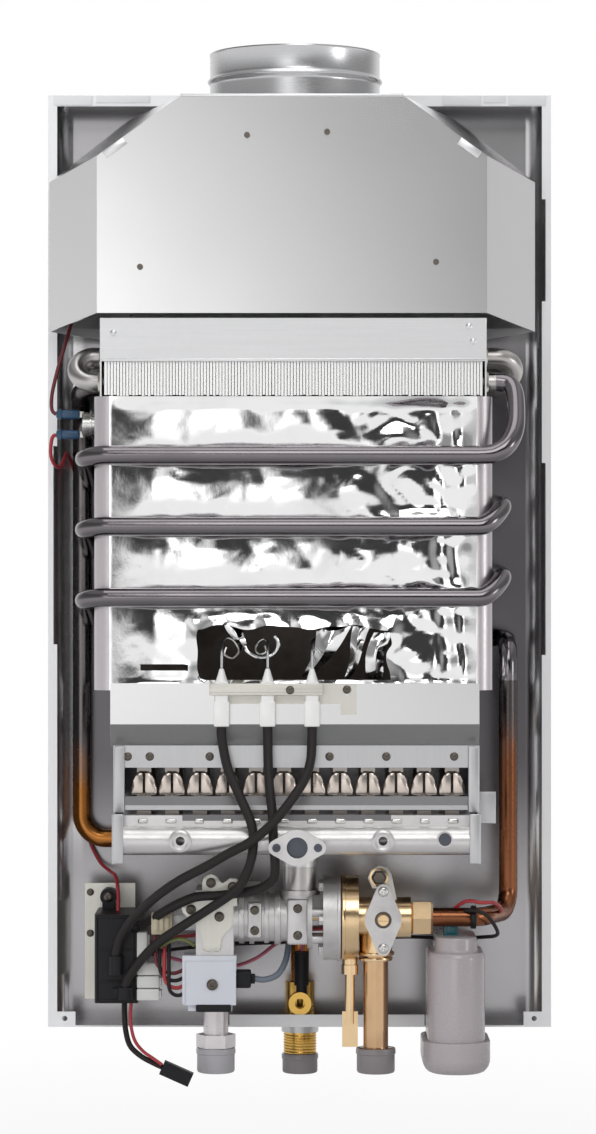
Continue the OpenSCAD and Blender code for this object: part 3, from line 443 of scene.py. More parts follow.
@dataclass(frozen=True)
class Plastic(Finish):
    """Moulded plastic with a fine spark grain and slight shade changes."""

    rough: float = 0.45
    grain: float = 0.20
    vary: float = 0.12
    coat: float = 0.0
    gloss: float = 0.5

    def lay(self, nodes: Nodes) -> None:
        """Lays grain and shade."""
        grain = nodes.noise(1500.0, 2.0)
        cloud = nodes.noise(55.0, 4.0)
        tone = nodes.mix(cloud * self.vary, self.colour, shade(self.colour, 0.6))
        rough = self.rough + (grain - 0.5) * 0.16 + (cloud - 0.5) * 0.10
        nodes.surface(
            Base_Color=tone, Roughness=rough, Coat_Weight=self.coat, Specular_IOR_Level=self.gloss,
            Normal=nodes.bump(grain, self.grain, 0.04),
        )


@dataclass(frozen=True)
class Foil(Finish):
    """Bright foil with fine creases and dull smears on top of its folds."""

    def lay(self, nodes: Nodes) -> None:
        """Lays creases and dull smears."""
        smear = nodes.noise(30.0, 5.0, rough=0.6).smooth(0.45, 0.8)
        crease = nodes.noise(70.0, 4.0, (1.0, 1.0, 0.6), rough=0.6)
        fine = nodes.noise(300.0, 2.0)
        tone = nodes.mix(smear * 0.25, self.colour, shade(self.colour, 0.7))
        rough = 0.06 + smear * 0.14 + fine * 0.04
        nodes.surface(
            Base_Color=tone, Metallic=1.0, Roughness=rough, Normal=nodes.bump(crease + fine * 0.10, 0.12, 0.8)
        )


GALVANISED = SheetMetal(
    "galvanised_sheet", (0.72, 0.72, 0.72), "galvanised", rough=0.18, spangle=0.0, lines=0.0,
    tarnish=0.06, relief=0.0,
)
COLLAR_STEEL = SheetMetal(
    "collar_steel", (0.58, 0.58, 0.59), "galvanised", rough=0.27, spangle=0.0, lines=0.03,
    tarnish=0.02, stretch=(0.05, 0.05, 3.0), relief=0.0,
)
PLATED = SheetMetal("zinc_plated_sheet", (0.62, 0.62, 0.63), "plated", rough=0.36, spangle=0.02, relief=0.02)
BURNER_SHEET = SheetMetal("burner_sheet", (0.50, 0.46, 0.43), "plated", rough=0.36, spangle=0.04, tarnish=0.3)
BAND_TIN = SheetMetal(
    "tinned_band", (0.78, 0.78, 0.79), "tinned", rough=0.34, spangle=0.03,
    stretch=(0.06, 3.0, 3.0), relief=0.03
)
PANEL_STEEL = PanelSheet("panel_steel", (0.45, 0.44, 0.45), "panel_paint", rough=0.20)
WHITE_PAINT = Paint("lip_paint", (0.84, 0.84, 0.85), "panel_paint")
FIN_TIN = Casting("fin_tin", (0.98, 0.98, 0.97), "tinned", rough=0.36, grain=0.04, grime=0.02, metal=0.7)
TUBE_TIN = BrightMetal(
    "tube_tin", (0.19, 0.175, 0.185), "tinned", rough=0.13, bloom=0.25, tint=(0.11, 0.10, 0.10)
)
BRAZE = BrightMetal(
    "braze_metal", (0.60, 0.57, 0.53), "tinned", rough=0.30, tint=(0.45, 0.33, 0.22), tint_share=0.4
)
FOIL = Foil("bright_foil", (0.84, 0.84, 0.84), "tinned")
HOT_COPPER = HeatedPipe(
    "hot_pipe_copper", (0.55, 0.22, 0.055), "copper", tinned=(0.17, 0.155, 0.155), change=172.0
)
COLD_COPPER = HeatedPipe(
    "cold_riser_copper", (0.25, 0.095, 0.045), "copper", tinned=(0.09, 0.08, 0.08), change=190.0
)
PIPE_COPPER = BrightMetal(
    "inlet_copper", (0.62, 0.41, 0.24), "copper", rough=0.15, tint=(0.34, 0.19, 0.09), tint_share=0.35
)
BRASS = BrightMetal(
    "machined_brass", (0.82, 0.60, 0.36), "brass", rough=0.20, tint=(0.48, 0.30, 0.13), tint_share=0.3
)
THREAD_BRASS = BrightMetal(
    "thread_brass", (0.74, 0.46, 0.12), "brass", rough=0.24, tint=(0.50, 0.26, 0.05), tint_share=0.4
)
DIE_CAST = Casting("die_cast_grey", (0.70, 0.68, 0.68), "die_cast")
MANIFOLD_CAST = Casting("manifold_cast", (0.72, 0.70, 0.70), "die_cast", rough=0.34, grime=0.18)
CERAMIC = Plastic(
    "glazed_ceramic", (0.93, 0.92, 0.90), "ceramic", rough=0.24, grain=0.06, vary=0.05, coat=0.3
)
BLACK_PLASTIC = Plastic("black_moulding", (0.012, 0.012, 0.014), "black_plastic", rough=0.42, gloss=0.25)
GREY_CAP = Plastic("cap_grey", (0.25, 0.225, 0.23), "grey_plastic", rough=0.34, coat=0.2)
PALE_BOX = Plastic("pale_blue_box", (0.68, 0.70, 0.76), "pale_plastic", rough=0.36, vary=0.08)
SMOKE_PLASTIC = Plastic(
    "smoke_grey_moulding", (0.47, 0.425, 0.44), "grey_plastic", rough=0.26, grain=0.05, vary=0.20, coat=0.3
)
RUBBER = Plastic("black_rubber", (0.022, 0.018, 0.018), "lead_rubber", rough=0.50, grain=0.25, gloss=0.25)
RED_WIRE = Plastic("bright_red_wire", (0.42, 0.035, 0.045), "red_wire", rough=0.38, grain=0.08)
PINK_WIRE = Plastic("pink_wire", (0.62, 0.16, 0.24), "red_wire", rough=0.38, grain=0.08)
BLUE_SLEEVE = Plastic(
    "dark_blue_sleeve", (0.012, 0.060, 0.130), "blue_sleeve", rough=0.30, grain=0.08, coat=0.2
)
TEAL_SLEEVE = Plastic("teal_sleeve", (0.015, 0.130, 0.160), "blue_sleeve", rough=0.32, grain=0.08, coat=0.2)
CELL_JACKET = Plastic("cell_wrap", (0.10, 0.10, 0.11), "cell_jacket", rough=0.30)
SOOT = Casting("sooty_steel", (0.15, 0.125, 0.11), "plated", rough=0.50, grime=0.5, metal=0.5)
EDGE_STRIP = SheetMetal("edge_strip", (0.66, 0.62, 0.64), "plated", rough=0.36, spangle=0.03)
CREAM_ZINC = SheetMetal("cream_zinc", (0.74, 0.72, 0.66), "plated", rough=0.40, spangle=0.03, metal=0.8)
DULL_TIN = BrightMetal(
    "dull_tin", (0.52, 0.50, 0.49), "tinned", rough=0.30, tint=(0.30, 0.26, 0.23), tint_share=0.3
)
HEAD_STEEL = BrightMetal(
    "burner_head_steel", (0.68, 0.60, 0.54), "plated", rough=0.28, tint=(0.42, 0.31, 0.24), tint_share=0.12
)
SCREW_DARK = Casting("screw_dark", (0.16, 0.14, 0.12), "die_cast", rough=0.36)
SCREW_ZINC = BrightMetal("screw_zinc", (0.70, 0.69, 0.67), "plated", rough=0.24)
WHITE_NYLON = Plastic("white_nylon", (0.74, 0.74, 0.72), "pale_plastic", rough=0.38, grain=0.08, vary=0.10)
BEIGE_NYLON = Plastic("beige_nylon", (0.58, 0.51, 0.37), "pale_plastic", rough=0.42, grain=0.08)
CABLE_GREY = Plastic("blue_grey_cable", (0.16, 0.19, 0.23), "lead_rubber", rough=0.45)
MAROON_WIRE = Plastic("maroon_wire", (0.14, 0.018, 0.022), "red_wire", rough=0.40, grain=0.08)
OLIVE_WIRE = Plastic("olive_wire", (0.15, 0.17, 0.055), "lead_rubber", rough=0.40, grain=0.08)
# Dark grey sheet that paints the shade on the deflector's lower strip.
APRON_SHADE = SheetMetal(
    "apron_painted_shade", (0.28, 0.28, 0.28), "galvanised", rough=0.40, spangle=0.02, lines=0.03, relief=0.0
)
# Dark steel that paints shade on the tray's face and on the rib band.
BAND_SHADE = SheetMetal(
    "shaded_steel", (0.23, 0.225, 0.23), "plated", rough=0.42, spangle=0.02, lines=0.03, relief=0.0
)
STUB_SATIN = Casting(
    "stub_satin", (0.80, 0.76, 0.77), "die_cast", rough=0.30, grain=0.05, grime=0.10, metal=0.6
)
LIGHT_CAP = Plastic("cap_light_grey", (0.43, 0.415, 0.44), "grey_plastic", rough=0.34, coat=0.2)
BOLT_BLUE = Casting("bolt_blue", (0.11, 0.115, 0.14), "die_cast", rough=0.34)
WINDING = BrightMetal(
    "coil_winding", (0.50, 0.24, 0.10), "winding", rough=0.30, marks=0.6, stretch=(1.0, 1.0, 8.0)
)

NODE_FINISH: dict[str, Finish] = {
    "back_panel": PANEL_STEEL, "flue_hood": GALVANISED, "flue_collar": COLLAR_STEEL,
    "hood_screws": SCREW_DARK, "fin_box": BAND_TIN, "fin_stack": FIN_TIN, "fin_tubes": DULL_TIN,
    "combustion_chamber": FOIL, "chamber_brackets": PLATED, "coil_tube": TUBE_TIN, "hot_pipe": HOT_COPPER,
    "cold_riser": COLD_COPPER, "overheat_switch": BLUE_SLEEVE, "burner_side_plates": PLATED,
    "flame_deflector": GALVANISED, "burner_bars": PLATED, "burner_blades": BURNER_SHEET,
    "gas_manifold": MANIFOLD_CAST, "injectors": BRASS, "manifold_screws": BOLT_BLUE,
    "electrode_bracket": CREAM_ZINC, "electrode_insulators": CERAMIC, "electrode_rods": PLATED,
    "igniter_box": BLACK_PLASTIC, "igniter_bracket": CREAM_ZINC, "gas_riser": DULL_TIN,
    "gas_valve_body": DIE_CAST, "gas_valve_plate": PLATED, "valve_bracket": PLATED, "gas_inlet": STUB_SATIN,
    "gas_cap": GREY_CAP, "solenoid_yoke": PALE_BOX, "solenoid_coil": WINDING, "solenoid_plunger": PLATED,
    "water_valve_body": BRASS, "diaphragm_cover": DIE_CAST, "diaphragm": RUBBER, "push_rod": BRASS,
    "microswitch": BLACK_PLASTIC, "switch_button": RED_WIRE, "regulator_plate": DIE_CAST,
    "regulator_spindle": BRASS, "union_nut": BRASS, "cold_inlet_pipe": PIPE_COPPER, "cold_cap": GREY_CAP,
    "drain_plug": BRASS, "hot_outlet": THREAD_BRASS, "outlet_probe": BLACK_PLASTIC, "outlet_locknut": PLATED,
    "hot_cap": GREY_CAP, "battery_box": SMOKE_PLASTIC, "battery_lid": SMOKE_PLASTIC,
    "battery_cells": CELL_JACKET, "display_plug": BLACK_PLASTIC,
}


# Mesh building


class Shape:
    """Collects mesh forms given in millimetres as x, depth and height."""

    def __init__(self) -> None:
        """Starts empty."""
        self.bm = bmesh.new()

    def skin(self, rings: Sequence[Sequence[bmesh.types.BMVert]], loop: bool = False) -> None:
        """Joins closed rings of points with faces, and the last ring with the first where they loop."""
        for a, b in zip(rings, [*rings[1:], rings[0]] if loop else rings[1:]):
            for i in range(len(a)):
                j = (i + 1) % len(a)
                self.bm.faces.new((a[i], a[j], b[j], b[i]))

    def soften(self, edges: Iterable[bmesh.types.BMEdge], radius: float, segments: int) -> None:
        """Rounds edges, each once."""
        geom = list(dict.fromkeys(edges))
        bmesh.ops.bevel(
            self.bm, geom=geom, offset=radius * MM, segments=segments, profile=0.5, affect="EDGES"
        )

    def box(self, x: Pair, d: Pair, z: Pair, soft: float = 0.0) -> "Shape":
        """Adds a block with softened edges.

        Args:
            x: its limits across.
            d: its limits in depth.
            z: its limits in height.
            soft: radius of its edges.

        Returns:
            The shape itself.
        """
        part = bmesh.ops.create_cube(self.bm, size=1.0)["verts"]
        low, high = row((x[0], d[1], z[0])), row((x[1], d[0], z[1]))
        for v in part:
            v.co = Vector(low[i] if v.co[i] < 0 else high[i] for i in range(3))
        if soft > 0:
            self.soften((e for v in part for e in v.link_edges), soft, 3)
        return self

    def turned(
        self, profile: Sequence[Pair], at: Point, axis: Axis, sides: int = 48, loop: bool = False
    ) -> "Shape":
        """Turns a profile round an axis.

        Args:
            profile: radius and height pairs along the axis.
            at: a point on the axis.
            axis: the axis.
            sides: how many steps round.
            loop: whether the profile closes on itself.

        Returns:
            The shape itself.
        """
        along = Vector(axis.value)
        side = Vector((1.0, 0.0, 0.0)) if abs(along.x) < 0.5 else Vector((0.0, 1.0, 0.0))
        other = along.cross(side)
        rings = []
        for radius, height in profile:
            ring = []
            for i in range(sides):
                t = 2 * math.pi * i / sides
                p = (
                    Vector(at) + along * height
                    + (side * math.cos(t) + other * math.sin(t)) * max(radius, 0.0)
                )
                ring.append(self.bm.verts.new(row(p)))
            rings.append(ring)
        self.skin(rings, loop)
        if not loop:
            for ring, (radius, _) in ((rings[0], profile[0]), (rings[-1], profile[-1])):
                if radius > POINTED:
                    self.bm.faces.new(ring)
        return self

    def screw(self, at: Point, radius: float, height: float, sides: int = 24) -> "Shape":
        """Adds a screw head that faces forward, with a recess in its crown.

        Args:
            at: the middle of its seat.
            radius: its radius.
            height: its height.
            sides: how many steps round.

        Returns:
            The shape itself.
        """
        profile = [
            (radius, -0.4), (radius, height * 0.35), (radius * 0.86, height * 0.75), (radius * 0.58, height),
            (radius * 0.36, height), (radius * 0.28, height * 0.4), (0.0, height * 0.35),
        ]
        return self.turned(profile, at, Axis.FORWARD, sides)

    def pipe(self, points: Sequence[Vector], radius: float, sides: int = 16) -> "Shape":
        """Sweeps a round section along points in millimetres.

        Args:
            points: the centre line.
            radius: radius of the section.
            sides: how many steps round.

        Returns:
            The shape itself.
        """
        line = [row(p) for p in points]
        tangents = [
            (line[min(i + 1, len(line) - 1)] - line[max(i - 1, 0)]).normalized() for i in range(len(line))
        ]
        normal = tangents[0].orthogonal().normalized()
        rings = []
        for i, (p, t) in enumerate(zip(line, tangents)):
            if i:
                normal = tangents[i - 1].rotation_difference(t) @ normal
            normal = (normal - t * normal.dot(t)).normalized()
            other = t.cross(normal)
            rings.append([
                self.bm.verts.new(p + (normal * math.cos(a) + other * math.sin(a)) * radius * MM)
                for a in (2 * math.pi * k / sides for k in range(sides))
            ])
        self.skin(rings)
        self.bm.faces.new(rings[0])
        self.bm.faces.new(rings[-1])
        return self

    def plate(
        self, outline: Sequence[Pair], place: Callable[[float, float, float], Point],
        low: float, high: float, soft: float = 0.0,
    ) -> "Shape":
        """Draws an outline out into a plate.

        Args:
            outline: pairs that go round the plate.
            place: turns a pair and a level into x, depth and height.
            low: the level of one face.
            high: the level of the other.
            soft: radius of the edges round both faces.

        Returns:
            The shape itself.
        """
        faces = []
        for level in (low, high):
            faces.append([self.bm.verts.new(row(place(a, b, level))) for a, b in outline])
        bottom = self.bm.faces.new(faces[0])
        top = self.bm.faces.new(faces[1])
        self.skin(faces)
        if soft > 0:
            self.soften((*bottom.edges, *top.edges), soft, 2)
        return self

    def mesh(self, name: str, smooth: Crease = Crease.FORM) -> bpy.types.Mesh:
        """Ends the collecting.

        Args:
            name: name of the mesh.
            smooth: up to which angle its edges are shaded smooth.

        Returns:
            The mesh, with merged points and faces that point outwards.
        """
        bmesh.ops.remove_doubles(self.bm, verts=self.bm.verts, dist=MERGE)
        bmesh.ops.recalc_face_normals(self.bm, faces=self.bm.faces)
        mesh = bpy.data.meshes.new(name)
        self.bm.to_mesh(mesh)
        self.bm.free()
        mesh.shade_smooth()
        mesh.set_sharp_from_angle(angle=math.radians(smooth.value))
        return mesh

    def piece(
        self, name: str, finish: Finish, body: str = HEATER, replaces: Sequence[str] = (),
        smooth: Crease = Crease.FORM,
    ) -> bpy.types.Object:
        """Makes the collected forms one piece of the heater.

        Args:
            name: name of the piece.
            finish: its finish.
            body: the body that it rides on.
            replaces: nodes that it stands for.
            smooth: up to which angle its edges are shaded smooth.

        Returns:
            The piece.
        """
        return settle(self.mesh(name, smooth), name, finish, body, replaces)


def settle(
    mesh: bpy.types.Mesh, name: str, finish: Finish, body: str = HEATER, replaces: Sequence[str] = ()
) -> bpy.types.Object:
    """Puts a mesh in the scene as a piece of the heater.

    Args:
        mesh: the mesh, placed in the frame.
        name: name of the piece.
        finish: its finish.
        body: the body that it rides on.
        replaces: nodes that it stands for.

    Returns:
        The piece.
    """
    obj = bpy.data.objects.new(name, mesh)
    bpy.context.scene.collection.objects.link(obj)
    mesh.materials.clear()
    mesh.materials.append(finish.material())
    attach(obj, body)
    if replaces:
        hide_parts(*replaces)
    LOG.info("piece %s: %d faces", name, len(mesh.polygons))
    return obj


def repeat(
    name: str, form: Shape, places: Sequence[Point], finish: Finish, seed: int = 1,
    spread: Point = (0.0, 0.0, 0.0), spin: float = 0.0, replaces: Sequence[str] = (),
) -> bpy.types.Object:
    """Sets one small form at many places with Geometry Nodes.

    Args:
        name: name of the piece.
        form: the form, modelled round x 0, depth 0 and the mount height.
        places: where it goes, in millimetres.
        finish: its finish.
        seed: seed of the random sizes and turns.
        spread: largest share by which a copy's size changes along each axis.
        spin: largest turn of a copy about the depth axis, in radians.
        replaces: nodes that the piece stands for.

    Returns:
        The piece.
    """
    template = bpy.data.objects.new(name + "_form", form.mesh(name + "_form"))
    bpy.context.scene.collection.objects.link(template)
    tree = bpy.data.node_groups.new(name + "_row", "GeometryNodeTree")
    for label, kind in (("Geometry", "Geometry"), ("Spread", "Vector"), ("Spin", "Float"), ("Seed", "Int")):
        tree.interface.new_socket(label, in_out="INPUT", socket_type="NodeSocket" + kind)
    tree.interface.new_socket("Geometry", in_out="OUTPUT", socket_type="NodeSocketGeometry")
    new = tree.nodes.new
    entry, leave = new("NodeGroupInput"), new("NodeGroupOutput")
    info, on_points = new("GeometryNodeObjectInfo"), new("GeometryNodeInstanceOnPoints")
    sizes, turns = new("FunctionNodeRandomValue"), new("FunctionNodeRandomValue")
    sizes.data_type = "FLOAT_VECTOR"
    low, high = new("ShaderNodeVectorMath"), new("ShaderNodeVectorMath")
    low.operation, high.operation = "SUBTRACT", "ADD"
    low.inputs[0].default_value = high.inputs[0].default_value = (1.0, 1.0, 1.0)
    flip, angle = new("ShaderNodeMath"), new("ShaderNodeCombineXYZ")
    flip.operation = "MULTIPLY"
    flip.inputs[1].default_value = -1.0
    real, dress = new("GeometryNodeRealizeInstances"), new("GeometryNodeSetMaterial")
    info.inputs["Object"].default_value = template
    dress.inputs["Material"].default_value = finish.material()
    # A Random Value node takes vector limits at 0 and 1, float limits at 2 and 3, and gives a float at 1.
    for source, out, target, into in (
        (entry, "Geometry", on_points, "Points"), (info, "Geometry", on_points, "Instance"),
        (entry, "Spread", low, 1), (entry, "Spread", high, 1), (low, 0, sizes, 0), (high, 0, sizes, 1),
        (entry, "Seed", sizes, "Seed"), (sizes, 0, on_points, "Scale"), (entry, "Spin", flip, 0),
        (flip, 0, turns, 2), (entry, "Spin", turns, 3), (entry, "Seed", turns, "Seed"),
        (turns, 1, angle, "Y"), (angle, 0, on_points, "Rotation"), (on_points, "Instances", real, "Geometry"),
        (real, "Geometry", dress, "Geometry"), (dress, "Geometry", leave, "Geometry"),
    ):
        tree.links.new(source.outputs[out], target.inputs[into])
    points = bpy.data.meshes.new(name + "_places")
    points.from_pydata([row(p) for p in places], [], [])
    carrier = bpy.data.objects.new(name + "_carrier", points)
    bpy.context.scene.collection.objects.link(carrier)
    modifier = carrier.modifiers.new("row", "NODES")
    modifier.node_group = tree
    values = {"Spread": spread, "Spin": spin, "Seed": seed}
    for item in tree.interface.items_tree:
        if item.in_out == "INPUT" and item.name in values:
            modifier[item.identifier] = values[item.name]
    graph = bpy.context.evaluated_depsgraph_get()
    mesh = bpy.data.meshes.new_from_object(carrier.evaluated_get(graph))
    mesh.name = name
    carrier.modifiers.clear()
    for used in (carrier, template):
        bpy.data.objects.remove(used)
    return settle(mesh, name, finish, replaces=replaces)


def curve_through(points: Sequence[Sequence[float]], steps: int) -> list[Vector]:
    """A smooth line through given points.

    Args:
        points: the points.
        steps: how many steps between two of them.

    Returns:
        The points of the line.
    """
    p = [Vector(q) for q in points]
    line = []
    for i in range(len(p) - 1):
        a, b, c, e = p[max(i - 1, 0)], p[i], p[i + 1], p[min(i + 2, len(p) - 1)]
        square, cube = 2 * a - 5 * b + 4 * c - e, 3 * b - a - 3 * c + e
        for j in range(steps):
            s = j / steps
            line.append(0.5 * (2 * b + (c - a) * s + square * s**2 + cube * s**3))
    line.append(p[-1])
    return line


@dataclass
class Lead:
    """A flexible lead along listed points."""

    name: str
    route: Sequence[Point]
    radius: float
    finish: Finish
    far_end: str = "object"
    stiffness: str = "medium"
    lay: str = "hanging"
    node: str = ""
    steps: int = 6
    sides: int = 14

    def build(self, with_pieces: Sequence[bpy.types.Object] = ()) -> bpy.types.Object:
        """Args:
            with_pieces: separate pieces on it; not used.

        Returns:
            The piece.
        """
        line = curve_through(self.route, self.steps)
        length = sum((b - a).length for a, b in zip(line, line[1:])) * MM
        replaced = (self.node,) if self.node else ()
        form = Shape().pipe(line, self.radius, self.sides)
        obj = form.piece(self.name, self.finish, replaces=replaced, smooth=Crease.ROUND)
        path = [tuple(row(q)) for q in line]
        2 * self.radius * MM
        LOG.info("lead %s: %.3f m", self.name, length)
        return obj


@dataclass(frozen=True)
class Softbox:
    """A square soft lamp, placed in millimetres, with its side in metres and its power in watts."""

    name: str
    place: Point
    target: Point
    size: float
    power: float
    mirrored: bool = True

    def build(self) -> None:
        """Hangs the lamp unseen by the camera; bright metal shows it only where it is mirrored."""
        data = bpy.data.lights.new(self.name, "AREA")
        data.shape, data.size, data.energy = "SQUARE", self.size, self.power
        obj = bpy.data.objects.new(self.name, data)
        obj.visible_camera = False
        obj.visible_glossy = self.mirrored
        obj.location = row(self.place)
        obj.rotation_euler = (row(self.target) - obj.location).to_track_quat("-Z", "Y").to_euler()
        bpy.context.scene.collection.objects.link(obj)


@dataclass
class Studio:
    """Camera, lamps, surround and a pale floor."""

    camera_distance: float = 2430.0
    lip_depth: float = 45.0
    centre_x: float = -1.0
    centre_z: float = 303.7
    mm_per_pixel: float = 0.656
    image_height: int = 1134
    sensor: float = 36.0
    clip: Pair = (0.05, 50.0)
    white: Colour = (1.0, 1.0, 1.0)
    fill_colour: Colour = (0.92, 0.94, 0.97)
    fill: float = 0.27
    darkest: float = 0.045
    window_glow: float = 1.4
    window_fade: float = 0.7
    glare_glow: float = 1.1
    side_glow: float = 0.9
    above_glow: float = 0.45
    right_glow: float = 0.35
    floor_drop: float = -110.0
    floor_size: float = 6.0
    floor_colour: Colour = (0.86, 0.86, 0.86)
    floor_seen: Pair = (0.91, 1.0)
    floor_mirrored: Pair = (0.12, 0.98)
    lamps: tuple[Softbox, ...] = (
        Softbox("key_softbox", (-900, 1250, 330), (-20, 100, 350), 1.7, 12.0, mirrored=False),
        Softbox("front_softbox", (250, 2300, 1750), (0, 60, 330), 1.2, 13.0),
        Softbox("right_strip", (1500, 900, 350), (0, 60, 300), 0.4, 2.2),
        Softbox("top_softbox", (0, 500, 2100), (0, 80, 400), 1.2, 7.0),
    )

    def build(self) -> None:
        """Builds everything round the heater."""
        bpy.context.scene.view_settings.view_transform = "Standard"
        self.camera()
        self.world()
        self.floor()
        for lamp in self.lamps:
            lamp.build()

    def camera(self) -> None:
        """Sets the camera straight in front, far back."""
        data = bpy.data.cameras.new("front_camera")
        data.sensor_width = self.sensor
        data.lens = self.sensor * self.camera_distance / (self.mm_per_pixel * self.image_height)
        data.clip_start, data.clip_end = self.clip
        obj = bpy.data.objects.new("front_camera", data)
        obj.location = row((self.centre_x, self.lip_depth + self.camera_distance, self.centre_z))
        obj.rotation_euler = (math.pi / 2, 0.0, 0.0)
        bpy.context.scene.collection.objects.link(obj)
        bpy.context.scene.camera = obj

    def world(self) -> None:
        """A surround that is white to the camera and behind the heater, and darker in front of it."""
        world = bpy.data.worlds.new("studio")
        bpy.context.scene.world = world
        world.use_nodes = True
        nodes = Nodes(world.node_tree)
        axes = nodes.axes("Generated")
        east, west, up = axes["X"], -axes["X"], axes["Z"]
        behind = axes["Y"].smooth(0.45, 0.90)
        low = 1 - up.smooth(-0.07, 0.02)
        table = up.smooth(-0.55, -0.25) * (1 - east.smooth(0.25, 0.55))
        left = west.smooth(-0.11, 0.05) * (1 - west.smooth(0.25, 0.5) * self.window_fade)
        window = left * (1 - up.smooth(0.05, 0.16))
        side = left * west.smooth(0.05, 0.16) * (1 - up.smooth(0.3, 0.6))
        glare = west.band(0.0, 0.08, 0.2, 0.3) * up.band(0.0, 0.05, 0.10, 0.16)
        above = up.smooth(0.35, 0.8) * self.above_glow
        right = east.smooth(0.30, 0.65) * self.right_glow
        high = (
            window * self.window_glow + glare * self.glare_glow
            + side * (1 - window) * self.side_glow + above
        )
        room = behind + (1 - behind) * (right + low * table + (1 - low) * high + self.darkest)
        camera, glossy, through = (
            nodes.add("ShaderNodeLightPath", out=f"Is {ray} Ray")
            for ray in ("Camera", "Glossy", "Transmission")
        )
        fill = nodes.add("ShaderNodeBackground", None, {"Color": self.fill_colour, "Strength": self.fill})
        mirrored = nodes.add("ShaderNodeBackground", None, {"Color": self.white, "Strength": room})
        seen = nodes.add("ShaderNodeBackground", None, {"Color": self.white, "Strength": 1.0})
        mixed = nodes.add("ShaderNodeMixShader", None, {0: glossy + through, 1: fill, 2: mirrored})
        mixed = nodes.add("ShaderNodeMixShader", None, {0: camera, 1: mixed, 2: seen})
        nodes.end(mixed, "ShaderNodeOutputWorld")

    def floor(self) -> None:
        """A pale floor below the heater that keeps a faint shadow and is clear from underneath."""
        bm = bmesh.new()
        bmesh.ops.create_grid(bm, x_segments=1, y_segments=1, size=self.floor_size)
        mesh = bpy.data.meshes.new("floor")
        bm.to_mesh(mesh)
        bm.free()
        obj = bpy.data.objects.new("floor", mesh)
        obj.location = row((0, 0, self.floor_drop))
        material = bpy.data.materials.new("pale_floor")
        material.use_nodes = True
        nodes = Nodes(material.node_tree)
        plain = nodes.add("ShaderNodeBsdfDiffuse", None, {"Color": self.floor_colour})
        glow = nodes.add("ShaderNodeEmission", None, {"Color": self.white, "Strength": 1.0})
        seen = nodes.add("ShaderNodeLightPath", out="Is Camera Ray")
        shiny = nodes.add("ShaderNodeLightPath", out="Is Glossy Ray")
        coords = nodes.add("ShaderNodeTexCoord", out="Object")
        away = nodes.add("ShaderNodeVectorMath", {"operation": "LENGTH"}, {0: coords}, out="Value")
        (near, far), (dim, full) = self.floor_seen, self.floor_mirrored
        share = near + away.smooth(0.2, 0.9) * (far - near)
        mirrored = dim + away.smooth(0.3, 1.2) * (full - dim)
        shader = nodes.add(
            "ShaderNodeMixShader", None, {0: seen * share + shiny * mirrored, 1: plain, 2: glow}
        )
        under = nodes.add("ShaderNodeNewGeometry", out="Backfacing")
        clear = nodes.add("ShaderNodeBsdfTransparent", None, {"Color": self.white})
        nodes.end(nodes.add("ShaderNodeMixShader", None, {0: under, 1: shader, 2: clear}))
        mesh.materials.append(material)
        bpy.context.scene.collection.objects.link(obj)


def dress_nodes(frame: dict[str, Any]) -> None:
    """Gives the nodes of the frame their finishes.
    """
    for name, obj in frame["nodes"].items():
        finish = NODE_FINISH.get(name)
        if finish is None:
            continue
        if not obj.material_slots:
            obj.data.materials.append(finish.material())
        for slot in obj.material_slots:
            slot.material = finish.material()


IGNITION_LEADS = (
    Lead("spark_lead_left", (
        (-49.3, 132.1, 202.7), (-49.3, 132.6, 196), (-45.5, 136, 177), (-38, 142, 160), (-30.5, 149, 143),
        (-29, 151.5, 131), (-31, 151, 118), (-37, 147, 104), (-44, 142, 97), (-58, 133, 87), (-74, 124, 76),
        (-88, 114, 66), (-99, 105, 55), (-109, 98, 42), (-112, 97, 34)),
        3.0, RUBBER, node="ignition_lead_left"),
    Lead("spark_lead_middle", (
        (-20.2, 132.1, 202.7), (-20.1, 132.8, 196), (-19.8, 138, 178), (-18.6, 145, 162), (-17, 150, 148),
        (-16.6, 150.8, 136), (-15.8, 150.6, 124), (-15.4, 149, 114), (-17, 146, 107), (-24, 141, 101.5),
        (-34, 137, 98.5), (-50, 132, 96), (-66, 128.5, 94.5), (-80, 119.5, 88), (-92, 106, 80), (-99, 97, 75),
        (-104, 92, 73)), 3.0, RUBBER, node="ignition_lead_middle"),
    Lead("spark_lead_right", (
        (7.9, 132.1, 202.7), (7.8, 133, 196), (7, 138, 182), (3.5, 146, 171), (-3.5, 153, 160),
        (-12, 157, 149), (-20.5, 158.5, 140), (-32, 158, 131), (-45, 154, 124), (-58, 149, 116),
        (-74, 139, 107), (-88, 128, 97), (-99, 116, 87), (-108, 106, 77), (-115, 99.5, 66), (-118, 97, 54)),
        3.0, RUBBER, node="ignition_lead_right"),
)
DISPLAY_LEAD = Lead("display_cable", (
    (-113, 84, 23), (-113, 85, 15), (-112, 88, 5), (-109, 93, -4), (-102, 98, -10), (-94, 101, -14),
    (-88, 103, -16.5)), 1.8, RUBBER, far_end="connector", node="display_lead")
DISPLAY_WIRE = Lead("display_wire_red", (
    (-108.5, 88, 23), (-109, 89, 14), (-108, 92, 6), (-105.5, 96, -1), (-100.5, 100.5, -6.5),
    (-93.5, 104, -11), (-88, 105.2, -14.6)), 1.1, RED_WIRE, stiffness="limp")
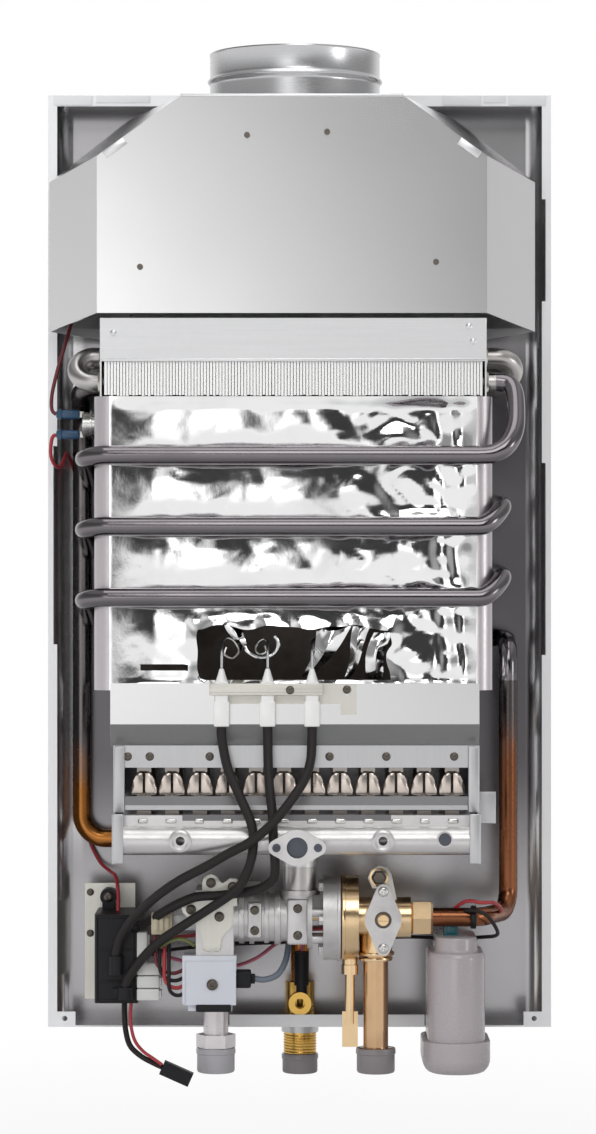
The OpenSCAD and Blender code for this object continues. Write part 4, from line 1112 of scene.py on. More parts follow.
OVERHEAT_LEAD = Lead("overheat_wire", (
    (-157.9, 74, 389.5), (-160.5, 73.5, 387), (-161.5, 71, 377), (-159.5, 66, 370.5), (-156.5, 58, 369),
    (-154.5, 46, 374), (-154, 30, 379), (-153.8, 14, 378), (-151, 6, 370), (-146.5, 4.8, 355),
    (-144.5, 4.8, 330), (-144.5, 4.8, 250), (-144.5, 4.8, 170), (-144, 4.8, 140), (-140, 6, 122),
    (-133, 10, 108), (-126, 20, 102.5), (-121.5, 38, 101), (-119, 54, 96), (-118, 63, 88), (-118, 66, 80)),
    1.2, RED_WIRE, stiffness="limp", node="overheat_lead")
PROBE_LEAD = Lead("probe_wire", (
    (1.3, 40.5, 51), (0.5, 42, 58), (-6, 50, 62), (-16, 64, 58), (-28, 72, 50), (-44, 68, 44),
    (-62, 66, 44), (-80, 70, 49), (-94, 76, 54), (-104, 78, 55)), 1.2, PINK_WIRE,
    stiffness="limp", node="probe_lead")


# Sub-assemblies


def even(low: float, high: float, count: int) -> list[float]:
    """Evenly spaced values from low to high."""
    return [low + (high - low) * i / (count - 1) for i in range(count)]


def stops(marks: Sequence[float], step: float) -> list[float]:
    """Values that hit every mark, with steps of about one size between."""
    values = [marks[0]]
    for a, b in zip(marks, marks[1:]):
        count = max(1, round(abs(b - a) / step))
        values += [a + (b - a) * (i + 1) / count for i in range(count)]
    return values


def ramp(value: float, low: float, high: float) -> float:
    """Smooth step from 0 at low to 1 at high."""
    t = min(1.0, max(0.0, (value - low) / (high - low)))
    return t * t * (3 - 2 * t)


def sleeve(inner: float, outer: float, first: float, last: float) -> list[Pair]:
    """Profile of a plain ring between two levels."""
    return [(inner, first), (outer, first), (outer, last), (inner, last)]


def on_front(a: float, b: float, level: float) -> Point:
    """Places an outline given as x and height on a plane that faces forward."""
    return (a, level, b)


def on_side(a: float, b: float, level: float) -> Point:
    """Places an outline given as depth and height on a plane that faces sideways."""
    return (level, a, b)


@dataclass
class FlueTop:
    """Flue spigot and the folded edges of the draught hood."""

    x: float = -3.0
    depth: float = 70.0
    radius: float = 55.0
    wall: float = 1.0
    roof: float = 602.0
    top: float = 636.0
    bead: float = 618.0
    bead_rise: float = 1.7
    bead_half: float = 1.6
    hood_x: float = -4.8
    lip: float = 70.5
    front: float = 131.0
    tab: tuple[Pair, ...] = ((-112.0, 575.7), (-125.0, 566.4), (-122.1, 562.3), (-109.1, 571.6))

    def build(self) -> None:
        """Builds the spigot and the hood's trim."""
        self.spigot()
        self.trim()

    def spigot(self) -> None:
        """Turns the spigot with its foot, stop bead and rolled rim."""
        r, low, high = self.radius, self.roof, self.top
        profile = [
            (r - self.wall, low - 8), (r, low - 8), (r, low + 0.3), (r + 4.6, low + 0.3),
            (r + 5.0, low + 0.7), (r + 4.6, low + 1.2), (r + 0.9, low + 1.2), (r + 0.2, low + 1.9),
        ]
        for z in even(self.bead - 4, self.bead + 4, 15):
            profile.append((r + self.bead_rise * math.exp(-(((z - self.bead) / self.bead_half) ** 2)), z))
        profile += [
            (r, high - 1.8), (r + 0.4, high - 1.0), (r + 0.2, high - 0.2), (r - 0.4, high),
            (r - 0.95, high - 0.4), (r - self.wall, high - 1.4),
        ]
        spigot = Shape().turned(profile, (self.x, self.depth, 0.0), Axis.UP, 144, loop=True)
        spigot.piece("flue_spigot", COLLAR_STEEL, replaces=("flue_collar",))

    def trim(self) -> None:
        """Folds the lip along the roof and the tabs on the slopes."""
        span = (self.hood_x - self.lip, self.hood_x + self.lip)
        lip = Shape().box(span, (self.front - 3, self.front + 0.9), (self.roof - 0.8, self.roof + 1.3), 0.5)
        for side in (1, -1):
            outline = [(self.hood_x + side * (x - self.hood_x), z) for x, z in self.tab]
            lip.plate(outline, on_front, self.front - 0.2, self.front + 0.8, 0.3)
        lip.piece("hood_lips", BAND_TIN)


@dataclass
class PanelTrim:
    """White tabs folded along the top of the back panel."""

    depth: Pair = (44.4, 46.0)
    rise: Pair = (606.4, 612.8)
    stagger: float = 1.6
    spans: tuple[Pair, ...] = (
        (-161.5, -136.0), (-133.5, -98.0), (94.0, 119.0), (121.0, 135.0), (137.0, 161.5)
    )

    def build(self) -> None:
        """Builds the tabs."""
        tabs = Shape()
        for k, span in enumerate(self.spans):
            tabs.box(span, self.depth, (self.rise[0] + self.stagger * (k % 2), self.rise[1]), 0.4)
        tabs.piece("panel_tabs", WHITE_PAINT)


@dataclass
class FoilWrap:
    """Bright foil round the combustion chamber, crumpled between the turns of the coil."""

    x: Pair = (-130.7, 122.7)
    d: Pair = (26.0, 126.0)
    z: Pair = (225.5, 412.0)
    corner: float = 10.0
    window: tuple[float, float, float, float] = (-64.0, 57.0, 232.0, 265.0)
    slot: tuple[float, float, float, float] = (-101.0, -71.0, 238.0, 242.0)
    turns: tuple[float, ...] = (374.5, 329.5, 284.5)
    step: float = 2.2
    side_step: float = 3.0
    back_step: float = 6.0
    calm: float = 8.0
    calm_left: float = 28.0
    sheet: float = 0.4
    liner_gap: float = 9.5
    liner_wall: float = 1.5
    liner_back: Pair = (33.0, 35.0)
    liner_sides: Pair = (34.5, 114.0)
    flap_sheet: float = 0.25
    flap_depth: float = 119.0
    flap_front: float = 126.4
    flap_cells: tuple[int, int] = (12, 16)
    hook: Point = (-24.0, 117.0, 254.5)
    blades: tuple[tuple[Point, Point, float], ...] = (
        ((12.0, 34.0, 266.0), (2.0, 8.0, 234.0), 7.0), ((36.0, 47.0, 266.0), (27.0, 31.0, 233.0), 5.0),
        ((47.0, 59.0, 262.0), (41.0, 52.0, 232.0), 4.0), ((-46.0, -34.0, 267.0), (-40.0, -36.0, 251.0), 3.0),
    )

    def build(self) -> None:
        """Builds the foil, loose flaps in its window and a dark liner behind."""
        self.wrap()
        self.flaps()
        self.liner()

    def rim(self) -> list[Spot]:
        """Walks round the chamber.

        Returns:
            x, depth, outward direction and how far the foil may crumple there, from 0 to 1.
        """
        (x0, x1), (d0, d1), c = self.x, self.d, self.corner
        marks = (x0 + c, self.slot[0], self.slot[1], self.window[0], self.window[1], x1 - c)
        walk: list[Spot] = []
        for x in stops(marks, self.step):
            walk.append((x, d1, 0.0, 1.0, min(1.0, (x - x0 - c) / self.calm_left, (x1 - c - x) / self.calm)))
        walk += self.turn(x1 - c, d1 - c, 90.0, 0.0)
        walk += self.side(x1, 1.0, (d1 - c, d0 + c))
        walk += self.turn(x1 - c, d0 + c, 0.0, -90.0)
        walk += [(x, d0, 0.0, -1.0, 0.0) for x in stops((x1 - c, x0 + c), self.back_step)]
        walk += self.turn(x0 + c, d0 + c, -90.0, -180.0)
        walk += self.side(x0, -1.0, (d0 + c, d1 - c))
        walk += self.turn(x0 + c, d1 - c, 180.0, 90.0)
        return walk

    def side(self, x: float, out: float, marks: Pair) -> list[Spot]:
        """The points of one side face, calm towards its corners."""
        back, front = min(marks), max(marks)
        points = []
        for d in stops(marks, self.side_step):
            points.append((x, d, out, 0.0, min(1.0, (front - d) / self.calm, (d - back) / self.calm)))
        return points

    def turn(self, x: float, d: float, start: float, end: float) -> list[Spot]:
        """The points of one smooth corner between two faces."""
        points = []
        for a in even(start, end, 9)[1:-1]:
            c, s = math.cos(math.radians(a)), math.sin(math.radians(a))
            points.append((x + self.corner * c, d + self.corner * s, c, s, 0.0))
        return points

    def dent(self, x: float, d: float, z: float) -> float:
        """How far the foil lies behind its flat face, in millimetres."""
        near = min(abs(z - turn) for turn in self.turns)
        wild = ramp(x, 0.0, 70.0)
        gutter = ramp(x, 38.0, 82.0) * (1.0 - ramp(x, 84.0, 98.0)) * ramp(z, 334.0, 342.0) * (d > 120.0)
        place = Vector((x, d, z))
        broad = 0.5 + 0.5 * noise.noise(place / 58.0 + Vector((0.4, 0.0, 2.2)))
        swell = 0.5 + 0.5 * noise.noise(Vector((x / 30.0, d / 30.0, z / 22.0 + 5.0)))
        fold = 1.0 - min(1.0, 2.2 * abs(noise.noise(Vector((x / 30.0, d / 30.0, z / 40.0 + 9.0)))))
        small = 1.0 - min(1.0, 2.6 * abs(noise.noise(place / 12.0 + Vector((3.0, 7.0, 1.0)))))
        slant = x + 0.12 * (z - 330.0)
        pleat = abs(math.sin(math.pi * slant / 13.0)) * ramp(x, 80.0, 92.0) * ramp(near, 4.0, 14.0)
        waist = max(0.0, 1.0 - near / 18.0) ** 1.5
        edge = ramp(z, self.z[0], self.z[0] + 6) * (1.0 - ramp(z, self.z[1] - 8, self.z[1]))
        crumple = (
            1.6 * broad + 1.0 * swell + (0.25 + 0.75 * wild) * (1.8 * fold + 0.6 * small)
            + 1.2 * wild * swell
        )
        return edge * (1.5 * waist + crumple + 1.7 * pleat + 3.4 * gutter)

    def place(self, spot: Spot, z: float) -> Point:
        """Where one point of the foil lies once it is crumpled and torn round the window."""
        x, d, nx, nd, share = spot
        depth = share * self.dent(x, d, z)
        if nd == 1.0:
            left, right, low, high = self.window
            away = math.hypot(max(left - x, x - right, 0.0), max(low - z, z - high, 0.0))
            pull = max(0.0, 1.0 - away / 9.0)
            depth -= pull * (1.5 + 2.5 * noise.noise(Vector((x / 14.0, z / 14.0, 1.1))))
            depth = max(depth, -1.0)
            x += pull * 4.0 * noise.noise(Vector((x / 15.0, z / 15.0, 3.3)))
            z += pull * 4.0 * noise.noise(Vector((x / 15.0, z / 15.0, 8.8))) * (z > low)
        return (x - nx * depth, d - nd * depth, z)

    def wrap(self) -> None:
        """Crumples the foil, cuts its window and slot, and gives its front edges a plain strip."""
        rim = self.rim()
        cuts = (self.window, self.slot)
        levels = stops(
            (self.z[0], self.window[2], self.slot[2], self.slot[3], self.window[3], self.z[1]), self.step
        )
        form = Shape()
        grid = [[form.bm.verts.new(row(self.place(spot, z))) for spot in rim] for z in levels]
        for k in range(len(levels) - 1):
            z = (levels[k] + levels[k + 1]) / 2
            for i in range(len(rim)):
                j = (i + 1) % len(rim)
                x = (rim[i][0] + rim[j][0]) / 2
                cut = any(left < x < right and low < z < high for left, right, low, high in cuts)
                if not (cut and rim[i][3] == 1.0):
                    form.bm.faces.new((grid[k][i], grid[k][j], grid[k + 1][j], grid[k + 1][i]))
        loose = [v for v in form.bm.verts if not v.link_faces]
        bmesh.ops.delete(form.bm, geom=loose, context="VERTS")
        bmesh.ops.recalc_face_normals(form.bm, faces=form.bm.faces)
        bmesh.ops.solidify(form.bm, geom=list(form.bm.faces), thickness=self.sheet * MM)
        wrap = form.piece("foil_wrap", FOIL, replaces=("combustion_chamber",), smooth=Crease.ROUND)
        wrap.data.materials.append(EDGE_STRIP.material())
        middle = sum(self.x) / 2
        reach = (self.x[1] - self.x[0]) / 2 - self.corner
        for face in wrap.data.polygons:
            x, d = face.center.x / MM, -face.center.y / MM
            face.material_index = int(abs(x - middle) > reach and d > self.d[1] - self.corner)

    def liner(self) -> None:
        """Builds the dark liner behind the window."""
        left, right = self.x[0] + self.liner_gap, self.x[1] - self.liner_gap
        tall = (self.z[0] + 1, self.z[1] - 1)
        liner = Shape().box((left, right), self.liner_back, tall, 0.3)
        for x in (left, right - self.liner_wall):
            liner.box((x, x + self.liner_wall), self.liner_sides, tall, 0.3)
        liner.piece("chamber_liner", SOOT)

    def flaps(self) -> None:
        """Crumples loose corners of foil that hang in the window."""
        form = Shape()
        across, along = self.flap_cells
        for (a0, a1, top), (b0, b1, tip), curl in self.blades:
            grid = []
            for i in range(across + 1):
                u = i / across
                line = []
                for j in range(along + 1):
                    v = j / along
                    x = (
                        (a0 + (a1 - a0) * u) * (1 - v) + (b0 + (b1 - b0) * u) * v
                        + 2.0 * math.sin(4.0 * v + a0)
                    )
                    z = top + (tip - top) * v
                    bow = curl * math.sin(math.pi * v) * (1.0 - 1.6 * abs(u - 0.5))
                    d = self.flap_depth + bow + 1.6 * noise.noise(Vector((x / 8.0, z / 9.0, a0))) - 3.0 * v
                    line.append(form.bm.verts.new(row((x, min(d, self.flap_front), z))))
                grid.append(line)
            for a, b in zip(grid, grid[1:]):
                for j in range(along):
                    form.bm.faces.new((a[j], a[j + 1], b[j + 1], b[j]))
        bmesh.ops.solidify(form.bm, geom=list(form.bm.faces), thickness=self.flap_sheet * MM)
        x, d, z = self.hook
        turns = even(math.radians(40.0), math.radians(-170.0), 25)
        hook = [
            Vector((x + 10.5 * math.cos(a), d + 1.5 * math.sin(2 * a), z + 8.5 * math.sin(a))) for a in turns
        ]
        form.pipe(hook, 1.5, 12)
        form.piece("foil_flaps", FOIL, smooth=Crease.ROUND)


@dataclass
class Coil:
    """Water tube wound round the chamber, its front corners rising at the right."""

    x: Pair = (-120.7, 112.7)
    d: Pair = (36.0, 116.0)
    bend: float = 16.3
    levels: tuple[float, ...] = (374.5, 329.5, 284.5)
    pitch: float = 45.0
    rise: float = 13.0
    tube: float = 6.0
    start: tuple[Point, ...] = (
        (116.0, 105, 422), (126, 105, 422), (133.5, 106, 420.6), (137, 110, 415), (137.6, 117.5, 403),
        (136.4, 125.5, 391), (131.5, 130.8, 381), (123, 132.3, 375.6), (112.7, 132.3, 374.5),
    )
    end: tuple[Point, ...] = (
        (112.0, 19.7, 258.4), (126, 20.4, 257.4), (133.5, 25.5, 256.6), (136, 35, 255.6), (136, 47, 254.4),
        (136, 56, 250.5), (136, 59.7, 242), (136, 60, 230),
    )

    def corner(self, x: float, d: float, start: float, z0: float, z1: float) -> list[Vector]:
        """A quarter turn round an upright edge while the height changes."""
        line = []
        for t in even(0.0, 1.0, 17):
            a = math.radians(start) + t * math.pi / 2
            z = z0 + (z1 - z0) * ramp(t, 0.0, 1.0)
            line.append(Vector((x + self.bend * math.cos(a), d + self.bend * math.sin(a), z)))
        return line

    def build(self) -> None:
        """Builds the tube from the fin box down to the riser."""
        (x0, x1), (d0, d1) = self.x, self.d
        line = curve_through(self.start, 6)
        for k, z in enumerate(self.levels):
            line += self.corner(x0, d1, 90.0, z, z - 2.0)
            line += self.corner(x0, d0, 180.0, z - 0.30 * self.pitch, z - 0.34 * self.pitch)
            if k < len(self.levels) - 1:
                below = self.levels[k + 1]
                line += self.corner(x1, d0, 270.0, below + self.rise + 3.4, below + self.rise + 2.4)
                line += self.corner(x1, d1, 0.0, below + self.rise, below)
        line += curve_through(self.end, 6)
        Shape().pipe(line, self.tube, 32).piece(
            "coil_pipe", TUBE_TIN, replaces=("coil_tube",), smooth=Crease.ROUND
        )


@dataclass
class FinPack:
    """Fins, tube joints and the band's dimples at the top of the exchanger."""

    x: Pair = (-124.0, 116.0)
    front: float = 126.0
    back: float = 25.0
    z: Pair = (412.6, 455.0)
    count: int = 122
    fin: float = 0.4
    flange: float = 1.86
    flange_wall: float = 0.5
    spread: Point = (0.07, 0.006, 0.020)
    spin: float = 0.004
    tube_rows: tuple[Pair, ...] = ((105.0, 422.0), (90.0, 438.9), (75.0, 422.0), (60.0, 438.9), (45.0, 422.0))
    sides: Pair = (-126.5, 118.5)
    tube: float = 6.0
    joint: tuple[Pair, ...] = ((-0.2, -0.5), (2.4, -0.2), (2.2, 0.3), (1.2, 0.8), (0.4, 2.0), (-0.2, 2.6))
    band_front: float = 128.0
    dimples: tuple[Pair, ...] = ((107.4, 456.3), (110.0, 446.8), (-118.0, 452.0))
    dimple: tuple[Pair, ...] = ((2.2, -0.2), (1.9, 0.5), (1.2, 0.9), (0.0, 1.0))

    def build(self) -> None:
        """Builds fins, joints and dimples."""
        half = (self.z[1] - self.z[0]) / 2
        tall = (MOUNT_Z - half, MOUNT_Z + half)
        fin = Shape().box((-self.fin / 2, self.fin / 2), (self.back - self.front, 0.0), tall)
        fin.box((-self.fin / 2, self.flange), (-self.flange_wall, 0.0), tall)
        places = [
            (x, self.front, self.z[0] + half) for x in even(self.x[0], self.x[1] - self.flange, self.count)
        ]
        repeat(
            "fin_blades", fin, places, FIN_TIN, seed=4, spread=self.spread,
            spin=self.spin, replaces=("fin_stack",)
        )
        joints = Shape()
        for side, way in zip(self.sides, (-1, 1)):
            for d, z in self.tube_rows:
                profile = [(self.tube + out, along * way) for out, along in self.joint]
                joints.turned(profile, (side, d, z), Axis.ACROSS, 28)
        joints.piece("braze_joints", BRAZE)
        dimples = Shape()
        for x, z in self.dimples:
            dimples.turned(self.dimple, (x, self.band_front, z), Axis.FORWARD, 20)
        dimples.box((-126.0, 118.0), (127.6, 128.5), (434.0, 436.0), 0.35)
        dimples.piece("band_dimples", BAND_TIN)


@dataclass
class Burner:
    """Burner heads, nozzle marks, screws and cheeks of the burner tray."""

    first: float = -98.9
    pitch: float = 17.8
    count: int = 12
    face: float = 119.0
    head_z: float = 165.8
    petal: tuple[Pair, ...] = (
        (0.3, -7.4), (8.2, -7.4), (8.5, -4.6), (8.0, -1.2), (6.5, 2.4), (5.0, 5.4), (4.4, 7.4), (0.3, 7.4),
    )
    rib: Pair = (138.0, 143.4)
    rib_ends: Pair = (-74.0, 57.7)
    rib_band: tuple[Pair, ...] = ((137.8, 143.6), (138.4, 143.6), (138.4, 147.4), (137.8, 147.4))
    tray_face: tuple[Pair, ...] = ((127.4, 152.6), (128.0, 152.6), (126.7, 158.3), (126.0, 158.3))
    tray_lip: tuple[Pair, ...] = ((127.4, 149.8), (128.6, 149.8), (128.4, 152.7), (127.4, 152.7))
    # Outline of a thin dark sheet that paints the shade on the deflector's lower strip.
    shade_sheet: tuple[Pair, ...] = ((127.02, 203.8), (127.4, 203.6), (121.5, 189.3), (121.06, 189.6))
    bar_screws: tuple[float, ...] = (-109.0, -95.0, -57.0, 19.0, 55.0, 98.0)
    bar: Pair = (126.0, 183.5)
    sides: Pair = (-116.5, 112.5)
    flange: Point = (-1.5, 146.5, 128.0)
    ports: tuple[float, ...] = (-75.0, 52.4)
    port: Pair = (149.0, 131.5)
    port_ring: tuple[Pair, ...] = (
        (2.8, -2.0), (4.2, 0.1), (5.6, 0.55), (6.8, 0.1), (7.2, -1.2), (7.0, -3.0), (2.8, -3.0),
    )

    def build(self) -> None:
        """Builds the heads, the tray's sheets, its small parts, the cheeks and the manifold's fronts."""
        xs = [self.first + self.pitch * i for i in range(self.count)]
        self.heads(xs)
        self.sheets()
        self.small_parts(xs)
        self.cheeks()
        self.manifold()

    def heads(self, xs: Sequence[float]) -> None:
        """Sets out the heads, two petals to each."""
        heads = Shape()
        for way in (1, -1):
            heads.plate([(x * way, MOUNT_Z + z) for x, z in self.petal], on_front, -4.0, 2.4, 1.9)
        places = [(x, self.face, self.head_z) for x in xs]
        repeat("burner_heads", heads, places, HEAD_STEEL, seed=2, spread=(0.04, 0.03, 0.01))

    def sheets(self) -> None:
        """Draws the tray's face and lip, the rib band and a sheet over the deflector's lower strip along x;
        the face, the rib band and that sheet carry painted shade.
        """
        left, right = self.sides
        for name, finish, outline, ends in (
            # The tray's face, the rib band and the deflector's sheet are dark with painted shade.
            ("tray_face", BAND_SHADE, self.tray_face, (left + 6.0, right - 6.0)),
            ("tray_lip", PLATED, self.tray_lip, (left + 6.0, right - 6.0)),
            ("rib_band", BAND_SHADE, self.rib_band, self.rib_ends),
            ("deflector_apron", APRON_SHADE, self.shade_sheet, (left - 3.4, right + 1.4)),
        ):
            Shape().plate(outline, on_side, *ends).piece(name, finish)

    def small_parts(self, xs: Sequence[float]) -> None:
        """Sets out the nozzle marks and the bar's screws."""
        marks = Shape().box((-3.3, 3.3), (-0.8, 1.3), (MOUNT_Z - 1.6, MOUNT_Z + 1.6), 1.1)
        repeat(
            "nozzle_marks", marks, [(x, *self.rib) for x in xs], SCREW_ZINC, seed=5, spread=(0.08, 0.0, 0.08)
        )
        screw = Shape().screw((0.0, 0.0, MOUNT_Z), 2.7, 1.7)
        repeat("bar_screws", screw, [(x, *self.bar) for x in self.bar_screws], SCREW_DARK, spin=0.5)

    def cheeks(self) -> None:
        """Builds the plates that close the tray's ends."""
        cheeks = Shape()
        for side, way in zip(self.sides, (1, -1)):
            low, high = sorted((side - 1.0 * way, side + 5.6 * way))
            cheeks.box((low, high), (146.4, 147.8), (117.2, 148.4), 0.5)
            cheeks.box((low, high), (127.4, 128.8), (148.0, 190.0), 0.5)
        tab = self.sides[1]
        cheeks.box((tab + 1.4, tab + 13.5), (96.0, 97.4), (139.0, 159.5), 0.5)
        cheeks.piece("burner_cheeks", PLATED)

    def manifold(self) -> None:
        """Builds the flange's bolt with its washer and the rings round the ports."""
        bolt = Shape().turned([(0.0, 2.4), (3.4, 2.4), (4.3, 1.6), (4.3, -0.2)], self.flange, Axis.FORWARD, 6)
        bolt.turned(sleeve(4.9, 5.9, 0.5, -0.2), self.flange, Axis.FORWARD, 40, loop=True)
        bolt.piece("flange_bolt", BOLT_BLUE, smooth=Crease.FLATS)
        fronts = Shape()
        for x in self.ports:
            fronts.turned(self.port_ring, (x, *self.port), Axis.FORWARD, 40, loop=True)
        fronts.piece("port_rings", MANIFOLD_CAST)


@dataclass
class Ignition:
    """Ceramics, sparking wires, their screws and the trim of the igniter."""

    xs: tuple[float, ...] = (-49.3, -20.2, 7.9)
    depth: Pair = (128.2, 136.0)
    foot: float = 202.7
    neck: float = 219.0
    shoulder: float = 231.0
    tip: tuple[Pair, ...] = ((3.9, 0.0), (3.5, 1.6), (2.6, 4.2), (1.8, 7.0), (1.3, 8.4), (0.0, 8.9))
    strip: Pair = (-57.0, 14.5)
    screw_z: float = 226.0
    wire_z: float = 255.7
    wire_sizes: tuple[float, ...] = (1.0, 0.75, 0.85)
    curl: tuple[Point, ...] = (
        (0, 115.0, 255.7), (3, 112, 258.5), (8, 112, 256), (10.5, 113, 250), (6.5, 115, 245.5),
        (1.5, 115, 248), (2.5, 114, 252.5),
    )
    box_front: Pair = (91.4, 92.7)
    box_ribs: tuple[float, ...] = (24.2, 36.4, 57.0, 77.6)
    box_posts: tuple[float, ...] = (-131.2, -106.2)
    box_screw: Point = (-125.0, 52.0, 88.0)
    bracket_screws: tuple[Point, ...] = ((-137.5, 40.0, 90.0), (-137.5, 40.0, 63.0))
    plugs: tuple[Pair, ...] = ((25.2, 32.6), (33.2, 40.8), (41.4, 49.2))

    def build(self) -> None:
        """Builds ceramics, wires and the igniter's plugs."""
        self.ceramics()
        self.wires()
        self.igniter()

    def ceramics(self) -> None:
        """Builds the three ceramics with pointed tops, the strip that clamps them and its screws."""
        form = Shape()
        d0, d1 = self.depth
        for x in self.xs:
            form.box((x - 5.0, x + 5.0), (d0, d1), (self.foot, self.neck), 1.0)
            form.box((x - 4.2, x + 4.2), (d0 + 0.4, d1 - 0.4), (self.neck - 1, self.shoulder + 0.5), 0.9)
            form.turned(self.tip, (x, (d0 + d1) / 2, self.shoulder), Axis.UP, 28)
        form.piece("spark_ceramics", CERAMIC, replaces=("electrode_insulators",))
        strip = Shape().box(self.strip, (d1 - 0.6, d1 + 0.8), (222.6, 230.0), 0.5)
        strip.box(self.strip, (d1 + 0.5, d1 + 1.2), (224.4, 228.2), 0.3)
        strip.piece("clamp_strip", CREAM_ZINC)
        screws = Shape()
        for x, d in ((-6.0, d1 + 1.1), (30.0, d0)):
            screws.screw((x, d, self.screw_z), 2.7, 1.5)
        screws.piece("bracket_screws", SCREW_DARK)

    def wires(self) -> None:
        """Curls the bright wire ends that show in the ignition window."""
        form = Shape()
        for x, way, r in zip(self.xs, (1, -1, 1), self.wire_sizes):
            route = [(x + way * dx * r, d, self.wire_z + (z - self.wire_z) * r) for dx, d, z in self.curl]
            form.pipe(curve_through(route, 8), 0.8, 10)
        form.piece("sparking_wires", SCREW_ZINC)

    def igniter(self) -> None:
        """Builds ribs, screws and white plugs on the igniter."""
        trim = Shape()
        for z in self.box_ribs:
            trim.box((-131.0, -105.0), self.box_front, (z, z + 1.3), 0.4)
        for x in self.box_posts:
            trim.box((x, x + 1.4), self.box_front, (24.4, 78.6), 0.4)
        trim.piece("igniter_ribs", BLACK_PLASTIC)
        screws = Shape().screw(self.box_screw, 3.4, 2.0)
        for at in self.bracket_screws:
            screws.screw(at, 2.4, 1.4)
        screws.piece("igniter_screws", SCREW_DARK)
        plugs = Shape()
        plugs.box((-104.6, -97.8), (84.0, 94.5), (52.4, 69.0), 0.7)
        plugs.box((-98.4, -96.6), (86.0, 92.5), (54.4, 67.0), 0.4)
        for low, high in self.plugs:
            plugs.box((-104.6, -90.2), (82.5, 95.5), (low, high), 0.7)
            plugs.box((-91.0, -88.8), (84.0, 94.0), (low + 1.2, high - 1.2), 0.4)
        plugs.piece("igniter_plugs", WHITE_NYLON)


@dataclass
class OverheatSwitch:
    """Snap disc on the chamber's side with two sleeved terminals."""

    wall: float = -130.7
    depth: float = 74.0
    height: float = 396.0
    gap: float = 6.5
    profile: tuple[Pair, ...] = (
        (0.0, -10.0), (7.3, -10.0), (8.0, -9.4), (8.0, -5.0), (9.6, -4.8),
        (9.6, -3.8), (8.2, -3.6), (8.2, 0.2),
    )

    def build(self) -> None:
        """Builds the disc, the terminals and the sleeves."""
        wall, d = self.wall, self.depth
        disc = Shape().turned(self.profile, (wall, d, self.height), Axis.ACROSS, 40)
        sleeves = Shape()
        for z in (self.height - self.gap, self.height + self.gap):
            disc.box((wall - 13.0, wall - 9.0), (d - 0.6, d + 0.6), (z - 2.0, z + 2.0), 0.2)
            sleeves.box((wall - 27.0, wall - 11.6), (d - 3.6, d + 3.6), (z - 3.0, z + 3.0), 1.8)
            sleeves.box((wall - 25.4, wall - 22.4), (d - 4.1, d + 4.1), (z - 3.5, z + 3.5), 1.6)
        disc.piece("switch_disc", SCREW_ZINC, replaces=("overheat_switch",))
        sleeves.piece("switch_sleeves", BLUE_SLEEVE)
        Lead("upper_switch_wire", (
            (-157.7, 74, 402.5), (-160.6, 74, 406), (-160.4, 73, 416), (-157.5, 70, 430), (-153.5, 66, 445),
            (-150, 60, 458), (-148, 57.5, 466)), 1.2, MAROON_WIRE, stiffness="limp").build()


